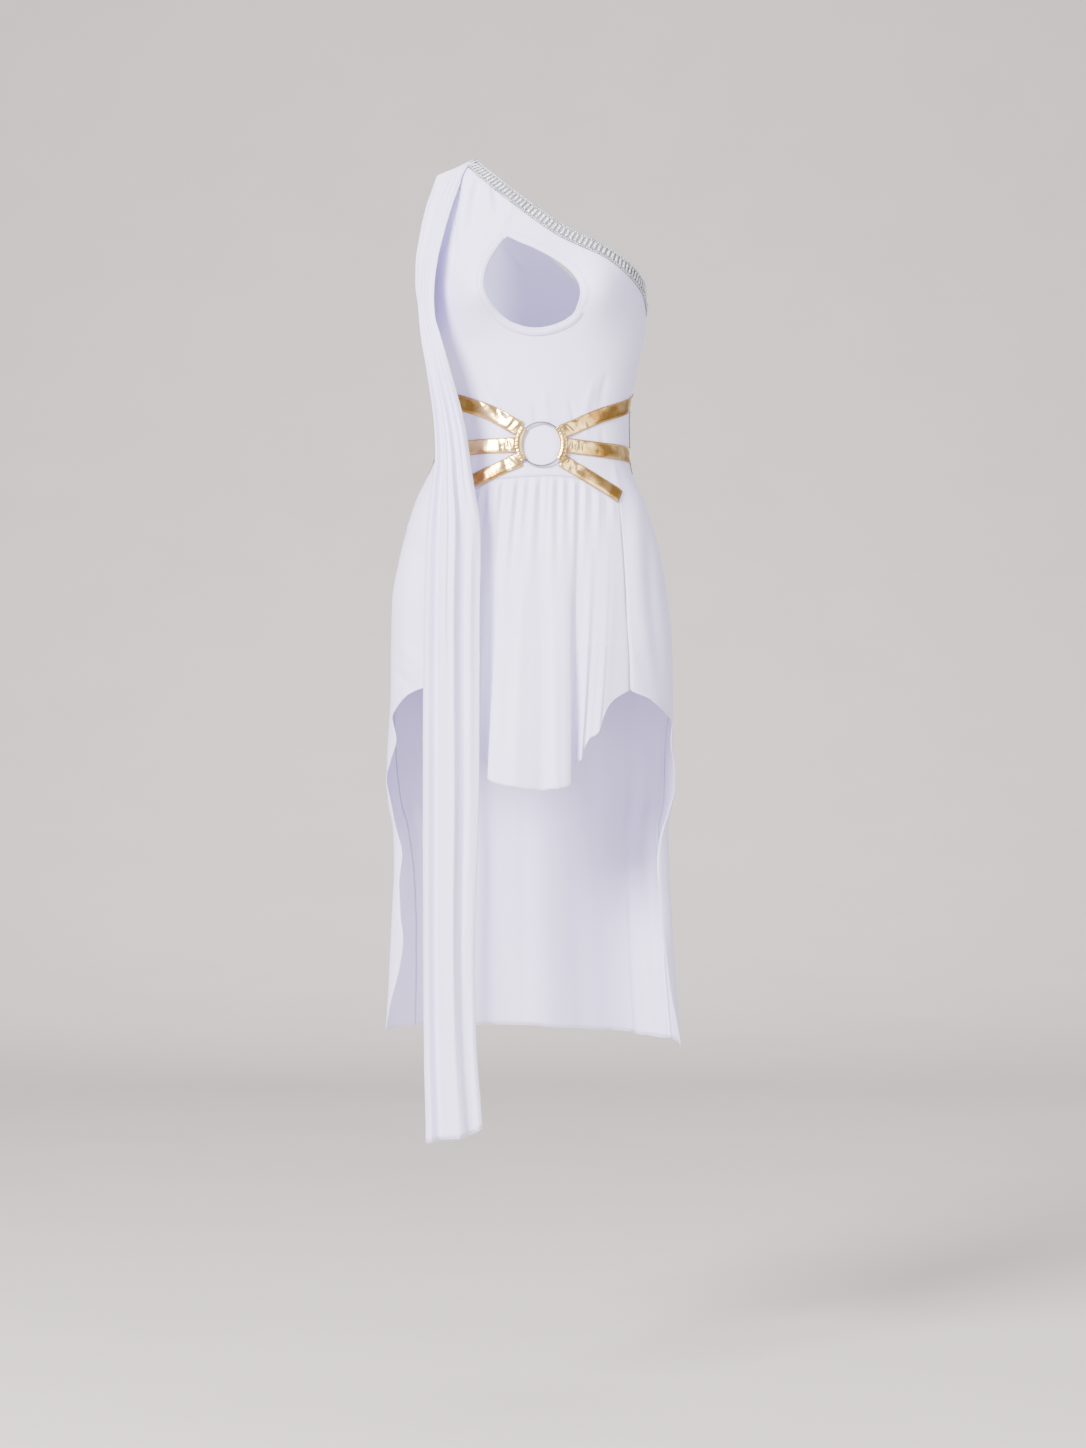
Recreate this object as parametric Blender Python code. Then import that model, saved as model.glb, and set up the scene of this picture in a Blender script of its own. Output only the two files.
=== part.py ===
"""One-shoulder pleated stage dress with a foil strap belt, as one solid for each cut piece.

Sizes are in millimetres. Tables are measured from the body's centre line: x to the
viewer's right, y to the back, z up from the shoulder seam. HELD_AT moves all of it so
that the world's origin is under the shoulder, where the dress is held.
"""
import math

import bmesh
import bpy
import numpy as np
from mathutils import Vector
from mathutils.bvhtree import BVHTree

# Driving sizes
MM = 0.001
HELD_AT = Vector((-104.0, 0.0, -7.0))
JERSEY = 1.2
SASH_CLOTH = 0.9
FOIL = 1.2
TAPE = 1.0
SEAM = 0.36
LAID = 0.6
LEAST_GAP = 0.3
NEARBY = 6.0
ROUNDNESS = 2.3

# Body of the dress: height, left side, right side, side depth, front depth, back depth
BODY = (
    (6, -144, 136, 0, 0, 0),
    (0, -144, 136, 0, 17, 18),
    (-10, -144, 136, 0, 31, 33),
    (-28, -144, 136, 0, 50, 54),
    (-45, -144, 136, 0, 62, 68),
    (-62, -143, 135, 0, 72, 78),
    (-100, -139, 131, 0, 84, 90),
    (-145, -131, 123, 0, 90, 98),
    (-190, -130, 122, 0, 86, 96),
    (-227, -123, 115, 0, 81, 90),
    (-260, -116, 108, 0, 77, 82),
    (-300, -110.5, 102.5, 0, 75, 74),
    (-350, -126, 104, 0, 79, 75),
    (-393, -146.5, 121, 0, 86, 87),
    (-427, -157, 132.4, 0, 90, 98),
    (-458, -165, 140, 0, 93, 108),
    (-508, -174, 148, 0, 95, 118),
    (-560, -175.3, 153.3, 0, 95, 120),
    (-625, -176, 154.5, 0, 95, 119),
    (-655, -178, 154.5, -4, 80, 119),
    (-709, -181, 156, -12, 50, 120),
    (-742, -180, 155.5, -15, 37, 121),
    (-776, -174, 149.5, -15, 33, 122),
    (-818, -172.6, 150.3, -15, 30, 124),
    (-872, -175, 153.4, -15, 30, 127),
    (-940, -178.2, 157.3, -15, 30, 131),
    (-1031, -183, 165.5, -15, 34, 135),
)
# Bust: side distance from the centre, height, spread across, above and below, depth
BUST = (72, -158, 36, 46, 36, 26)
# Cloth spanned between the cups: spread across, depth
BRIDGE = (30, 9)
# The front's relief fades where it turns to the side, and ends at this height
FRONT_TURNS, RELIEF_ENDS = 0.35, -300
SHOULDER_TIP = (-112, -9.2)
NECK_POINT = (-79, 6)
SIDE_WAIST = -405
HEM_LEFT, HEM_BACK, HEM_RIGHT = -1012, -1018, -1027

# Soft folds that fan from the shoulder: angle from straight down, width, depth
SHOULDER_FOLDS = ((12, 9, 2.6), (33, 9, 2.8), (54, 10, 2.2))
FAN_CENTRE, FAN_REACH = (-96, 8), (48, 130)

# Folds of the tail: angle round the body, width in degrees, depth at hip, depth at hem
TAIL_FOLDS = (
    (116, 8, 0, 7), (133, 8, 0, -8), (150, 9, 1, 9), (168, 9, 0, -9), (186, 10, 1, 10),
    (203, 9, 0, -8), (220, 9, 1, 9), (236, 8, 0, -7),
)
TAIL_FROM, TAIL_TO = -450, -1000

# Front top edge by column: armhole, shoulder seam, neckline
FRONT_TOP = (
    (0, -131, -150), (2, -125.5, -133), (4, -118, -105), (6, -114, -71),
    (7.5, -112.6, -39), (9, -112, -9.2), (12, -79, 6), (13.4, -61, -10), (14.9, -41, -28),
    (16.4, -21, -45), (18, 1, -62), (19.8, 25, -79), (21.4, 50, -92), (22.8, 71, -103),
    (24.4, 91, -115), (26, 106, -125), (28, 115, -134), (30, 121, -144), (32, 123, -158),
)
# Back top edge by column, from the right side seam: neckline, shoulder seam, armhole
BACK_TOP = (
    (0, 123, -158), (1, 110, -166), (2.2, 88, -158), (3.8, 58, -136), (5.5, 28, -110),
    (7.2, -2, -83), (8.9, -32, -55), (10.3, -57, -28), (11.2, -70, -8), (12, -79, 6),
    (14, -112, -9.2), (15, -112.8, -42), (16.2, -114.5, -80), (17.4, -119.5, -113),
    (18.7, -127, -138), (20, -131, -150),
)
SHOULDER_FRONT, SHOULDER_BACK = (9, 12), (12, 14)
GORE_COLUMNS, MIDDLE_COLUMNS, BACK_COLUMNS = 6, 20, 20
BODICE_ROWS = 13
ROW_CROWDING = 1.4

# Arched waist seam
WAIST_SEAM = (
    (-103, -399), (-85, -388), (-72, -381), (-55, -373), (-31, -370.5), (14, -368.5),
    (42, -371), (67, -384.6), (90.8, -399),
)
# Front edge of the side gores: share of the side seam, right x and z, left x and z.
# The first seven rows are the seam with the front panel, the rest is the free edge.
GORE_EDGE = (
    (0.0, 90.8, -399, -103, -399),
    (0.06, 93.3, -436, -110, -436),
    (0.12, 95.8, -475, -116.5, -475),
    (0.185, 98, -515, -120.5, -515),
    (0.25, 100.3, -556, -124, -553),
    (0.305, 101.8, -588, -126.5, -584),
    (0.345, 102.8, -612.4, -128, -606),
    (0.37, 123.6, -623, -150, -617),
    (0.395, 143.3, -639.6, -166, -634),
    (0.42, 152, -654, -171.8, -648),
    (0.46, 151.8, -676, -168.5, -672),
    (0.50, 154.5, -700, -174, -694),
    (0.545, 155.3, -727, -180, -718),
    (0.585, 148, -752, -173, -748),
    (0.625, 139, -784, -167.4, -780),
    (0.675, 135.5, -817, -162, -806),
    (0.73, 138.3, -852, -165.8, -842),
    (0.79, 140, -891, -164.3, -874),
    (0.845, 143.6, -925, -160, -903),
    (0.90, 148.5, -961, -164, -935),
    (0.95, 155.7, -997, -174, -975),
    (1.0, 164, -1031, -182.2, -1014),
)
CORNER_ROW = 6
# Side seam: height, angle round the body on the right, on the left
SEAM_ANGLE = (
    (-1031, 116, 124), (-900, 116, 122), (-700, 112, 110), (-620, 100, 100),
    (-405, 90, 90), (0, 90, 90),
)

# Front skirt panel
PANEL_SPLIT, PANEL_ROW_SPLIT = 3, 2
GATHERS, GATHER_DEPTH, GATHERS_FROM, GATHERS_TO = 14, 2.6, -78, 60
PANEL_HANG = 96
# Folds at the panel's hem: share of the width, x, how far out, height of the hem
PANEL_HEM = (
    (0.00, -127.6, 0, -607),
    (0.07, -112, 3, -634),
    (0.14, -95, 6, -661),
    (0.20, -78, 8, -682),
    (0.245, -65, 5, -692),
    (0.28, -55, -3, -699),
    (0.31, -55, 6, -707),
    (0.345, -61, 17, -714),
    (0.40, -50, 24, -720),
    (0.48, -28, 27, -724),
    (0.55, 0, 20, -727.5),
    (0.61, 14, 25, -726.5),
    (0.665, 27, 24, -724),
    (0.705, 35, 16, -719),
    (0.735, 34, 4, -709),
    (0.765, 31, -4, -699),
    (0.80, 38, -1, -696),
    (0.835, 46, 6, -693),
    (0.865, 49, 3, -682),
    (0.895, 56, 5, -669),
    (0.925, 66, 7, -662),
    (0.945, 70, 4, -648),
    (0.97, 80, 2, -628),
    (1.00, 102.4, 0, -613),
)
PANEL_EASE = 1.25
# The panel follows the hip down to here, then hangs straight
PANEL_HANGS_FROM = -560
# Shares of the panel's length over which its gathers rise and then die away
GATHERS_RISE, GATHERS_FADE = 0.1, 0.75

# Sash: height, outer x and depth, inner x and depth
SASH = (
    (0, -117, 4, -80, 4),
    (-32, -127, 22, -95, 46),
    (-58, -134, 30, -103, 66),
    (-90, -139, 32, -111.5, 80),
    (-118, -142, 32, -118, 88),
    (-146, -141.5, 28, -122, 90),
    (-165, -138, 28, -123, 92),
    (-187, -136, 34, -122, 96),
    (-208, -134, 48, -116, 101),
    (-240, -129, 72, -107, 107),
    (-271, -125.5, 88, -98, 111),
    (-298, -122.5, 96, -91, 114),
    (-323, -121, 101, -85.5, 116),
    (-350, -120.5, 105, -82, 118),
    (-372, -123.5, 108, -79, 120),
    (-404, -127.5, 112, -73, 121),
    (-434, -130.5, 114, -69.5, 122),
    (-536, -133.5, 116, -70.7, 123),
    (-715, -134.5, 116, -71, 122),
    (-910, -134, 117, -76, 122),
    (-1000, -133.5, 117, -74.5, 122),
    (-1120, -131, 117, -66, 121),
)
SASH_ROWS, SASH_COLUMNS, SASH_CROWDING = 30, 20, 1.35
SASH_TOP_LEFT, SASH_TOP_RIGHT = (-116, -10.5), (-77, 4.5)
# Hem of the sash: share of the width, height
SASH_HEM = ((0, -1128), (0.3, -1124.5), (0.65, -1121.5), (0.85, -1117), (1, -1111.5))
# Crests and valleys of the sash: share of the width at the shoulder, at the hem, then
# how far out at the shoulder, bust, waist, hip and hem
SASH_FOLDS = (
    (0.00, 0.00, 0.3, 0, 0, -3, -2),
    (0.08, 0.10, 2.2, 6, 6, 3, 4),
    (0.20, 0.24, 0.3, 1, 0, -3, -4),
    (0.30, 0.38, 2.2, 7, 8, 6, 3),
    (0.41, 0.50, 0.3, 1, 3, 5, 6),
    (0.51, 0.60, 2.2, 7, 8, 7, 8),
    (0.61, 0.68, 0.3, 1, 0, -3, 5),
    (0.71, 0.77, 2.2, 7, 4, -6, -3),
    (0.81, 0.85, 0.3, 1, -1, -2, -5),
    (0.91, 0.93, 2.2, 6, 4, -6, -3),
    (1.00, 1.00, 0.3, 0, -2, -8, -6),
)
SASH_LEVELS = (0, -150, -320, -500, -1120)
SASH_CLEAR = (0.4, 4.6)
SASH_CLEAR_BY = 60
SASH_HANGS_FREE = -330

# Teardrop opening: x, z, anticlockwise from the tip
KEYHOLE = (
    (-38.8, -93.4), (-49.6, -107.9), (-59.4, -125.4), (-64.4, -142.5), (-64, -158.2),
    (-54, -175.6), (-38.8, -189.8), (-21.2, -197.3), (-3.8, -199.3), (13.7, -196.2),
    (29, -189.8), (38.8, -181.1), (44.3, -167), (44.3, -154), (38.8, -141.8),
    (29, -130.9), (13.7, -119.7), (-8, -107.9), (-25.6, -100.3),
)
KEYHOLE_SIDES = 48
KEYHOLE_DEPTH = (-170, -40)
BINDING_WIDTH, BINDING_FROM, BINDING_TO, BINDING_STEPS = 8.0, 0.25, 11.2, 36
BINDING_BACK = 0.6

# Stone trim along the neckline
TRIM_WIDTH, STONE_LENGTH, STONE_HEIGHT = 15.0, 10.0, 1.7
TRIM_EDGE = 1.2
FRONT_TRIM_STONES, BACK_TRIM_STEPS = 47, 36
TRIM_STARTS, TRIM_ENDS = 19.0, 2.0

# Belt straps: inner end and middle as x and z, outer end as angle round the body and z,
# then the width at each end
STRAPS = {
    "strap_left_top": (((-26.2, -313.2), (-64, -292.5)), (-88.3, -268), 17.0, 17.5),
    "strap_left_middle": (((-31.4, -333), (-61.6, -334)), (-89.4, -340), 16.5, 17.5),
    "strap_left_bottom": (((-26.2, -350.6), (-59.5, -366)), (-40, -384), 16.0, 16.5),
    "strap_right_top": (((28.4, -315.3), (66, -298.5)), (88.3, -278), 15.0, 17.5),
    "strap_right_middle": (((32, -333.6), (63.8, -336.7)), (89.4, -341), 16.5, 17.5),
    "strap_right_bottom": (((25.9, -352.2), (55.8, -369.5)), (48.8, -391), 15.0, 16.5),
}
STRAP_STEPS, STRAP_ACROSS, STRAP_LIFT = 13, 2, 1.6
# Upright side bands: angle round the body, width, top, bottom
SIDE_BAND = (94.7, 17.0, -266, -361)
SIDE_BAND_STEPS = 12

# Ring and the foil casings folded round it
RING_CENTRE, RING_RADIUS, RING_WIRE = (0.3, -332.0), 25.2, 1.25
RING_STANDS_OFF, RING_TILT = 3.75, 5.0
RING_STEPS, WIRE_SIDES = 32, 6
CASING_HALF_SPAN, CASING_STEPS, CASING_SIDES = 44, 9, 10
CASING_RADIUS, CASING_SPREAD, CASING_HALF_WIDTH, CASING_HALF_THICK = 26.0, 1.2, 4.3, 2.7
CASING_HOLE = 1.6
CASING_MIDDLE = {"casing_left": 179.0, "casing_right": 2.0}

COLOURS = {
    "jersey": ((0.84, 0.82, 0.92), 0.0, 0.62),
    "foil": ((0.78, 0.58, 0.28), 0.9, 0.3),
    "silver": ((0.75, 0.75, 0.78), 1.0, 0.18),
    "stones": ((0.8, 0.82, 0.86), 0.4, 0.2),
}


class Curve:
    """A smooth line through rows of values that never overshoots them."""

    def __init__(self, at, value):
        order = np.argsort(at)
        self.at = np.array(at, float)[order]
        self.value = np.array(value, float)[order]
        rise = np.diff(self.value) / np.diff(self.at)
        slope = np.zeros(len(self.at))
        slope[0], slope[-1] = rise[0], rise[-1]
        for k in range(1, len(rise)):
            a, b = rise[k - 1], rise[k]
            slope[k] = 0.0 if a * b <= 0 else 2 * a * b / (a + b)
        self.slope = slope

    def __call__(self, x):
        at, value, slope = self.at, self.value, self.slope
        x = min(max(x, at[0]), at[-1])
        k = min(max(int(np.searchsorted(at, x)) - 1, 0), len(at) - 2)
        step = at[k + 1] - at[k]
        t = (x - at[k]) / step
        a = (1 + 2 * t) * (1 - t) ** 2 * value[k] + t * (1 - t) ** 2 * step * slope[k]
        b = t * t * (3 - 2 * t) * value[k + 1] + t * t * (t - 1) * step * slope[k + 1]
        return float(a + b)


def curves(rows, key=0):
    """One curve for each column of a table, by the values of its key column."""
    at = [r[key] for r in rows]
    return [Curve(at, [r[c] for r in rows]) for c in range(len(rows[0]))]


def smooth(t):
    t = min(max(t, 0.0), 1.0)
    return t * t * (3 - 2 * t)


def bell(x, width):
    return math.exp(-((x / width) ** 2))


def signed_power(x, power):
    return math.copysign(abs(x) ** power, x)


# Depths are kept squared between rows, so that the shoulder comes out round
_, LEFT, RIGHT, SIDE, FRONT_SQ, BACK_SQ = curves(
    [(z, a, b, s, f * f, k * k) for z, a, b, s, f, k in BODY]
)
SEAM_RIGHT, SEAM_LEFT = curves(SEAM_ANGLE)[1:]
WAIST_Z = curves(WAIST_SEAM)[1]
FRONT_TOP_X, FRONT_TOP_Z = curves(FRONT_TOP)[1:]
BACK_TOP_X, BACK_TOP_Z = curves(BACK_TOP)[1:]
PANEL_X, PANEL_OUT, PANEL_Z = curves(PANEL_HEM)[1:]
SASH_OUT_X, SASH_OUT_Y, SASH_IN_X, SASH_IN_Y = curves(SASH)[1:]
SASH_HEM_Z = curves(SASH_HEM)[1]


def shoulder_drop(x, z):
    """How much lower the shoulder's ridge is at x than at the neck point."""
    slope = (NECK_POINT[1] - SHOULDER_TIP[1]) / (NECK_POINT[0] - SHOULDER_TIP[0])
    return slope * max(NECK_POINT[0] - x, 0.0) * smooth((z + 110) / 80)


def front_relief(x, z):
    """Bust and shoulder folds: how far the front stands out from the plain section."""
    side, height, across, above, below, depth = BUST
    up = bell(z - height, above if z > height else below)
    out = depth * up * (bell(x + 4 - side, across) + bell(x + 4 + side, across))
    out += BRIDGE[1] * up * bell(x + 4, BRIDGE[0])
    dx, dz = x - FAN_CENTRE[0], FAN_CENTRE[1] - z
    reach = math.hypot(dx, dz)
    fade = (1 - bell(reach, FAN_REACH[0])) * bell(reach, FAN_REACH[1])
    angle = math.degrees(math.atan2(dx, dz))
    return out + fade * sum(d * bell(angle - a, w) for a, w, d in SHOULDER_FOLDS)


def tail_fold(angle, z):
    share = smooth((z - TAIL_FROM) / (TAIL_TO - TAIL_FROM))
    start = smooth((TAIL_FROM - z) / 90)
    return start * sum((a + (b - a) * share) * bell(angle - at, w)
                       for at, w, a, b in TAIL_FOLDS)


def body_point(angle, z, hang=None):
    """The dress's outer surface; angle is 0 in front, 90 at the right, 180 behind."""
    left, right = LEFT(z), RIGHT(z)
    s, c = math.sin(math.radians(angle)), math.cos(math.radians(angle))
    x = (left + right) / 2 + (right - left) / 2 * signed_power(s, 2 / ROUNDNESS)
    level = z + shoulder_drop(x, z)
    bulge = abs(c) ** (2 / ROUNDNESS)
    if c > 0:
        depth = hang or math.sqrt(max(FRONT_SQ(level), 0.0))
        relief = front_relief(x, z) * smooth(c / FRONT_TURNS) if z > RELIEF_ENDS else 0.0
        relief *= smooth(0.3 - level / 20)
        return Vector((x, -SIDE(z) - (depth - SIDE(z)) * bulge - relief, z))
    depth = math.sqrt(max(BACK_SQ(level), 0.0))
    out = tail_fold(angle % 360, z) if z < TAIL_FROM else 0.0
    return Vector((x + out * s, -SIDE(z) + (depth + SIDE(z)) * bulge - out * c, z))


def body_normal(angle, z):
    x = body_point(angle, z).x
    if z + shoulder_drop(x, z) > NECK_POINT[1] - 1.5:
        tip, neck = SHOULDER_TIP, NECK_POINT
        return Vector((tip[1] - neck[1], 0, neck[0] - tip[0])).normalized()
    across = body_point(angle + 1, z) - body_point(angle - 1, z)
    down = body_point(angle, z - 1) - body_point(angle, z + 1)
    return down.cross(across).normalized()


def front_angle(x, z):
    """Angle round the body at which the front reaches x."""
    left, right = LEFT(z), RIGHT(z)
    s = (x - (left + right) / 2) / ((right - left) / 2)
    s = min(max(s, -1.0), 1.0)
    return math.degrees(math.asin(signed_power(s, ROUNDNESS / 2)))


def grid_normals(grid):
    rows, cols = len(grid), len(grid[0])
    found = []
    for i in range(rows):
        line = []
        for j in range(cols):
            down = grid[min(i + 1, rows - 1)][j] - grid[max(i - 1, 0)][j]
            across = grid[i][min(j + 1, cols - 1)] - grid[i][max(j - 1, 0)]
            line.append(down.cross(across).normalized())
        found.append(line)
    return found


def material(name, kind):
    colour, metallic, roughness = COLOURS[kind]
    made = bpy.data.materials.new(name)
    made.use_nodes = True
    shader = made.node_tree.nodes["Principled BSDF"]
    shader.inputs["Base Color"].default_value = (*colour, 1.0)
    shader.inputs["Metallic"].default_value = metallic
    shader.inputs["Roughness"].default_value = roughness
    made.diffuse_color = (*colour, 1.0)
    return made


def build(name, points, faces, kind):
    """One node from points in millimetres."""
    mesh = bpy.data.meshes.new(name)
    mesh.from_pydata([(p - HELD_AT) * MM for p in points], [], faces)
    mesh.validate()
    mesh.polygons.foreach_set("use_smooth", [True] * len(mesh.polygons))
    mesh.materials.append(material(name + "_finish", kind))
    obj = bpy.data.objects.new(name, mesh)
    bpy.context.scene.collection.objects.link(obj)
    return obj


def halves(a, b, c, d):
    """The two triangles of a cell as corner numbers, cut along its shorter diagonal."""
    if (a - c).length <= (b - d).length:
        return (0, 1, 2), (0, 2, 3)
    return (0, 1, 3), (1, 2, 3)


def wall(name, grid, thickness, kind, live=None, normals=None):
    """A cloth wall: the grid is its outer face, the inner face lies one thickness in."""
    rows, cols = len(grid), len(grid[0])
    normals = normals or grid_normals(grid)
    live = live or (lambda i, j: True)
    points, faces, index = [], [], {}

    def corner(i, j, inner):
        if (i, j, inner) not in index:
            index[i, j, inner] = len(points)
            depth = thickness[i][j] if isinstance(thickness, list) else thickness
            points.append(grid[i][j] - normals[i][j] * (depth if inner else 0.0))
        return index[i, j, inner]

    def is_live(i, j):
        return 0 <= i < rows - 1 and 0 <= j < cols - 1 and live(i, j)

    for i in range(rows - 1):
        for j in range(cols - 1):
            if not is_live(i, j):
                continue
            loop = [(i, j), (i + 1, j), (i + 1, j + 1), (i, j + 1)]
            for half in halves(*(grid[a][b] for a, b in loop)):
                faces.append([corner(*loop[k], False) for k in half])
                faces.append([corner(*loop[k], True) for k in reversed(half)])
            beyond = [(i, j - 1), (i + 1, j), (i, j + 1), (i - 1, j)]
            for k, other in enumerate(beyond):
                if not is_live(*other):
                    a, b = loop[k], loop[(k + 1) % 4]
                    faces.append([corner(*b, False), corner(*a, False),
                                  corner(*a, True), corner(*b, True)])
    return build(name, points, faces, kind)


def tree_of(grids):
    """The outer faces of some grids, to lay other pieces on."""
    points, faces = [], []
    for grid, live in grids:
        base, cols = len(points), len(grid[0])
        points += [p for line in grid for p in line]
        for i in range(len(grid) - 1):
            for j in range(cols - 1):
                if live(i, j):
                    a = base + i * cols + j
                    cell = (a, a + cols, a + cols + 1, a + 1)
                    for half in halves(*(points[k] for k in cell)):
                        faces.append([cell[k] for k in half])
    return BVHTree.FromPolygons(points, faces)


def body_rows():
    """Shares down the wall: first to the waist seam, then along the side seam."""
    top = [(k / BODICE_ROWS) ** ROW_CROWDING for k in range(BODICE_ROWS)]
    return top, [row[0] for row in GORE_EDGE]


def top_edge(j, x_curve, z_curve, shoulder, from_neck):
    """Top edge at a column; the shoulder seam between its two columns is straight."""
    first, last = shoulder
    if not first <= j <= last:
        return x_curve(j), z_curve(j)
    t = (j - first) / (last - first)
    t = t if from_neck else 1 - t
    return tuple(a + (b - a) * t for a, b in zip(NECK_POINT, SHOULDER_TIP))


def seam_shift(angle, z):
    """Half a seam as an angle at this place."""
    speed = (body_point(angle + 1, z) - body_point(angle - 1, z)).length / 2
    return SEAM / 2 / speed


def front_body():
    """Bodice front with the long gores beside the skirt panel."""
    above, below = body_rows()
    columns = 2 * GORE_COLUMNS + MIDDLE_COLUMNS
    right_from = GORE_COLUMNS + MIDDLE_COLUMNS
    grid, normals = [], []
    for i in range(len(above) + len(below)):
        line, facing = [], []
        for j in range(columns + 1):
            top_x, top_z = top_edge(j, FRONT_TOP_X, FRONT_TOP_Z, SHOULDER_FRONT, False)
            top_angle = front_angle(top_x, top_z)
            if j <= GORE_COLUMNS:
                share, side, edge = j / GORE_COLUMNS, -1, (3, 4)
            elif j >= right_from:
                share, side, edge = (columns - j) / GORE_COLUMNS, 1, (1, 2)
            else:
                share, side, edge = None, 0, None
            row = GORE_EDGE[max(i - len(above), 0)]
            if side:
                hem = HEM_RIGHT if side > 0 else HEM_LEFT
                seam_z = SIDE_WAIST + (hem - SIDE_WAIST) * row[0]
                seam = (SEAM_RIGHT if side > 0 else SEAM_LEFT)(seam_z)
                edge_x, edge_z = row[edge[0]], row[edge[1]]
                angle = side * seam + (front_angle(edge_x, edge_z) - side * seam) * share
                z = seam_z + (edge_z - seam_z) * share
            else:
                t = (j - GORE_COLUMNS) / MIDDLE_COLUMNS
                x = WAIST_SEAM[0][0] + (WAIST_SEAM[-1][0] - WAIST_SEAM[0][0]) * t
                z = WAIST_Z(x) + SEAM / 2
                angle = front_angle(x, z)
            if i < len(above):
                angle = top_angle + (angle - top_angle) * above[i]
                z = top_z + (z - top_z) * above[i]
            if j in (0, columns):
                angle -= math.copysign(seam_shift(angle, z), angle)
            p, n = body_point(angle, z), body_normal(angle, z)
            if i == 0 and SHOULDER_FRONT[0] <= j <= SHOULDER_FRONT[1]:
                p.y = -SEAM / 2
            if side and row[0] > 0 and share == 1.0 and i - len(above) <= CORNER_ROW:
                p.x += side * SEAM / 2
            line.append(p)
            facing.append(n)
        grid.append(line)
        normals.append(facing)

    def live(i, j):
        return i < len(above) or j < GORE_COLUMNS or j >= right_from

    return grid, normals, live


def back_body():
    """Back in one piece, with the same rows as the front along the side seams."""
    above, below = body_rows()
    grid, normals = [], []
    for i in range(len(above) + len(below)):
        line, facing = [], []
        for j in range(BACK_COLUMNS + 1):
            t = j / BACK_COLUMNS
            top_x, top_z = top_edge(j, BACK_TOP_X, BACK_TOP_Z, SHOULDER_BACK, True)
            top_angle = 180 - front_angle(top_x, top_z)
            hem = HEM_RIGHT + (HEM_LEFT - HEM_RIGHT) * t
            hem += (HEM_BACK - (HEM_LEFT + HEM_RIGHT) / 2) * math.sin(math.pi * t)
            share = below[max(i - len(above), 0)]
            z = SIDE_WAIST + (hem - SIDE_WAIST) * share
            right_seam, left_seam = SEAM_RIGHT(z), 360 - SEAM_LEFT(z)
            angle = right_seam + (left_seam - right_seam) * t
            if i < len(above):
                angle = top_angle + (angle - top_angle) * above[i]
                z = top_z + (z - top_z) * above[i]
            if j == 0:
                angle += seam_shift(angle, z)
            if j == BACK_COLUMNS:
                angle -= seam_shift(angle, z)
            p = body_point(angle, z)
            if i == 0 and SHOULDER_BACK[0] <= j <= SHOULDER_BACK[1]:
                p.y = SEAM / 2
            line.append(p)
            facing.append(body_normal(angle, z))
        grid.append(line)
        normals.append(facing)
    return grid, normals, lambda i, j: True


def skirt_front(front, front_normals):
    """Gathered panel with a pointed hem and deep folds; its seams follow the front's."""
    first, last = GORE_COLUMNS, GORE_COLUMNS + MIDDLE_COLUMNS
    rows = [BODICE_ROWS + k for k in range(CORNER_ROW + 1)]
    columns, steps = MIDDLE_COLUMNS * PANEL_SPLIT, CORNER_ROW * PANEL_ROW_SPLIT
    seam_z = [(GORE_EDGE[k][2] + GORE_EDGE[k][4]) / 2 for k in range(CORNER_ROW + 1)]
    down = [(z - seam_z[0]) / (seam_z[-1] - seam_z[0]) for z in seam_z]

    def between(values, at, split):
        k = min(at // split, len(values) - 2)
        return values[k].lerp(values[k + 1], at / split - k)

    edges = [([front[r][c] for r in rows], [front_normals[r][c] for r in rows])
             for c in (first, last)]
    top = (front[BODICE_ROWS][first:last + 1], front_normals[BODICE_ROWS][first:last + 1])
    grid = []
    for i in range(steps + 1):
        v = float(np.interp(i / PANEL_ROW_SPLIT, range(CORNER_ROW + 1), down))
        left, right = (between(e[0], i, PANEL_ROW_SPLIT) for e in edges)
        line = []
        for j in range(columns + 1):
            u = j / columns
            head = between(top[0], j, PANEL_SPLIT)
            z = head.z + (PANEL_Z(u) - head.z) * v
            plain_x = left.x + (right.x - left.x) * u + (head.x - top[0][0].x
                      - (top[0][-1].x - top[0][0].x) * u) * (1 - v)
            ease = v ** PANEL_EASE
            x = plain_x + (PANEL_X(u) - plain_x) * ease
            level = max(z, PANEL_HANGS_FROM)
            p = body_point(front_angle(x, level), level,
                           PANEL_HANG if z < PANEL_HANGS_FROM else None)
            across = (head.x - GATHERS_FROM) / (GATHERS_TO - GATHERS_FROM)
            inside = smooth(across / 0.06) * smooth((1 - across) / 0.06)
            gather = GATHER_DEPTH * inside * math.sin(math.pi * GATHERS * across) ** 2
            gather *= smooth(v / GATHERS_RISE) * (1 - smooth(v / GATHERS_FADE))
            p = Vector((x, p.y - PANEL_OUT(u) * ease - gather, z))
            if i == 0:
                p = head.copy()
                p.z -= SEAM
            elif j == 0:
                p = left.copy()
            elif j == columns:
                p = right.copy()
            p.x += SEAM * ((j == 0) - (j == columns))
            line.append(p)
        grid.append(line)
    normals = grid_normals(grid)
    for i in range(steps + 1):
        normals[i][0] = between(edges[0][1], i, PANEL_ROW_SPLIT).normalized()
        normals[i][-1] = between(edges[1][1], i, PANEL_ROW_SPLIT).normalized()
    normals[0] = [between(top[1], j, PANEL_SPLIT).normalized() for j in range(columns + 1)]
    return grid, normals


def sash_height(s, z):
    """How far out the sash's pleats stand at a share of its width, and that share."""
    levels = SASH_LEVELS
    down = smooth((levels[0] - z) / (levels[0] - levels[-1]))
    heights = []
    for row in SASH_FOLDS:
        heights.append(Curve(levels, row[2:])(z))
    at = [row[0] + (row[1] - row[0]) * down for row in SASH_FOLDS]
    return Curve(at, heights)(s)


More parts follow.
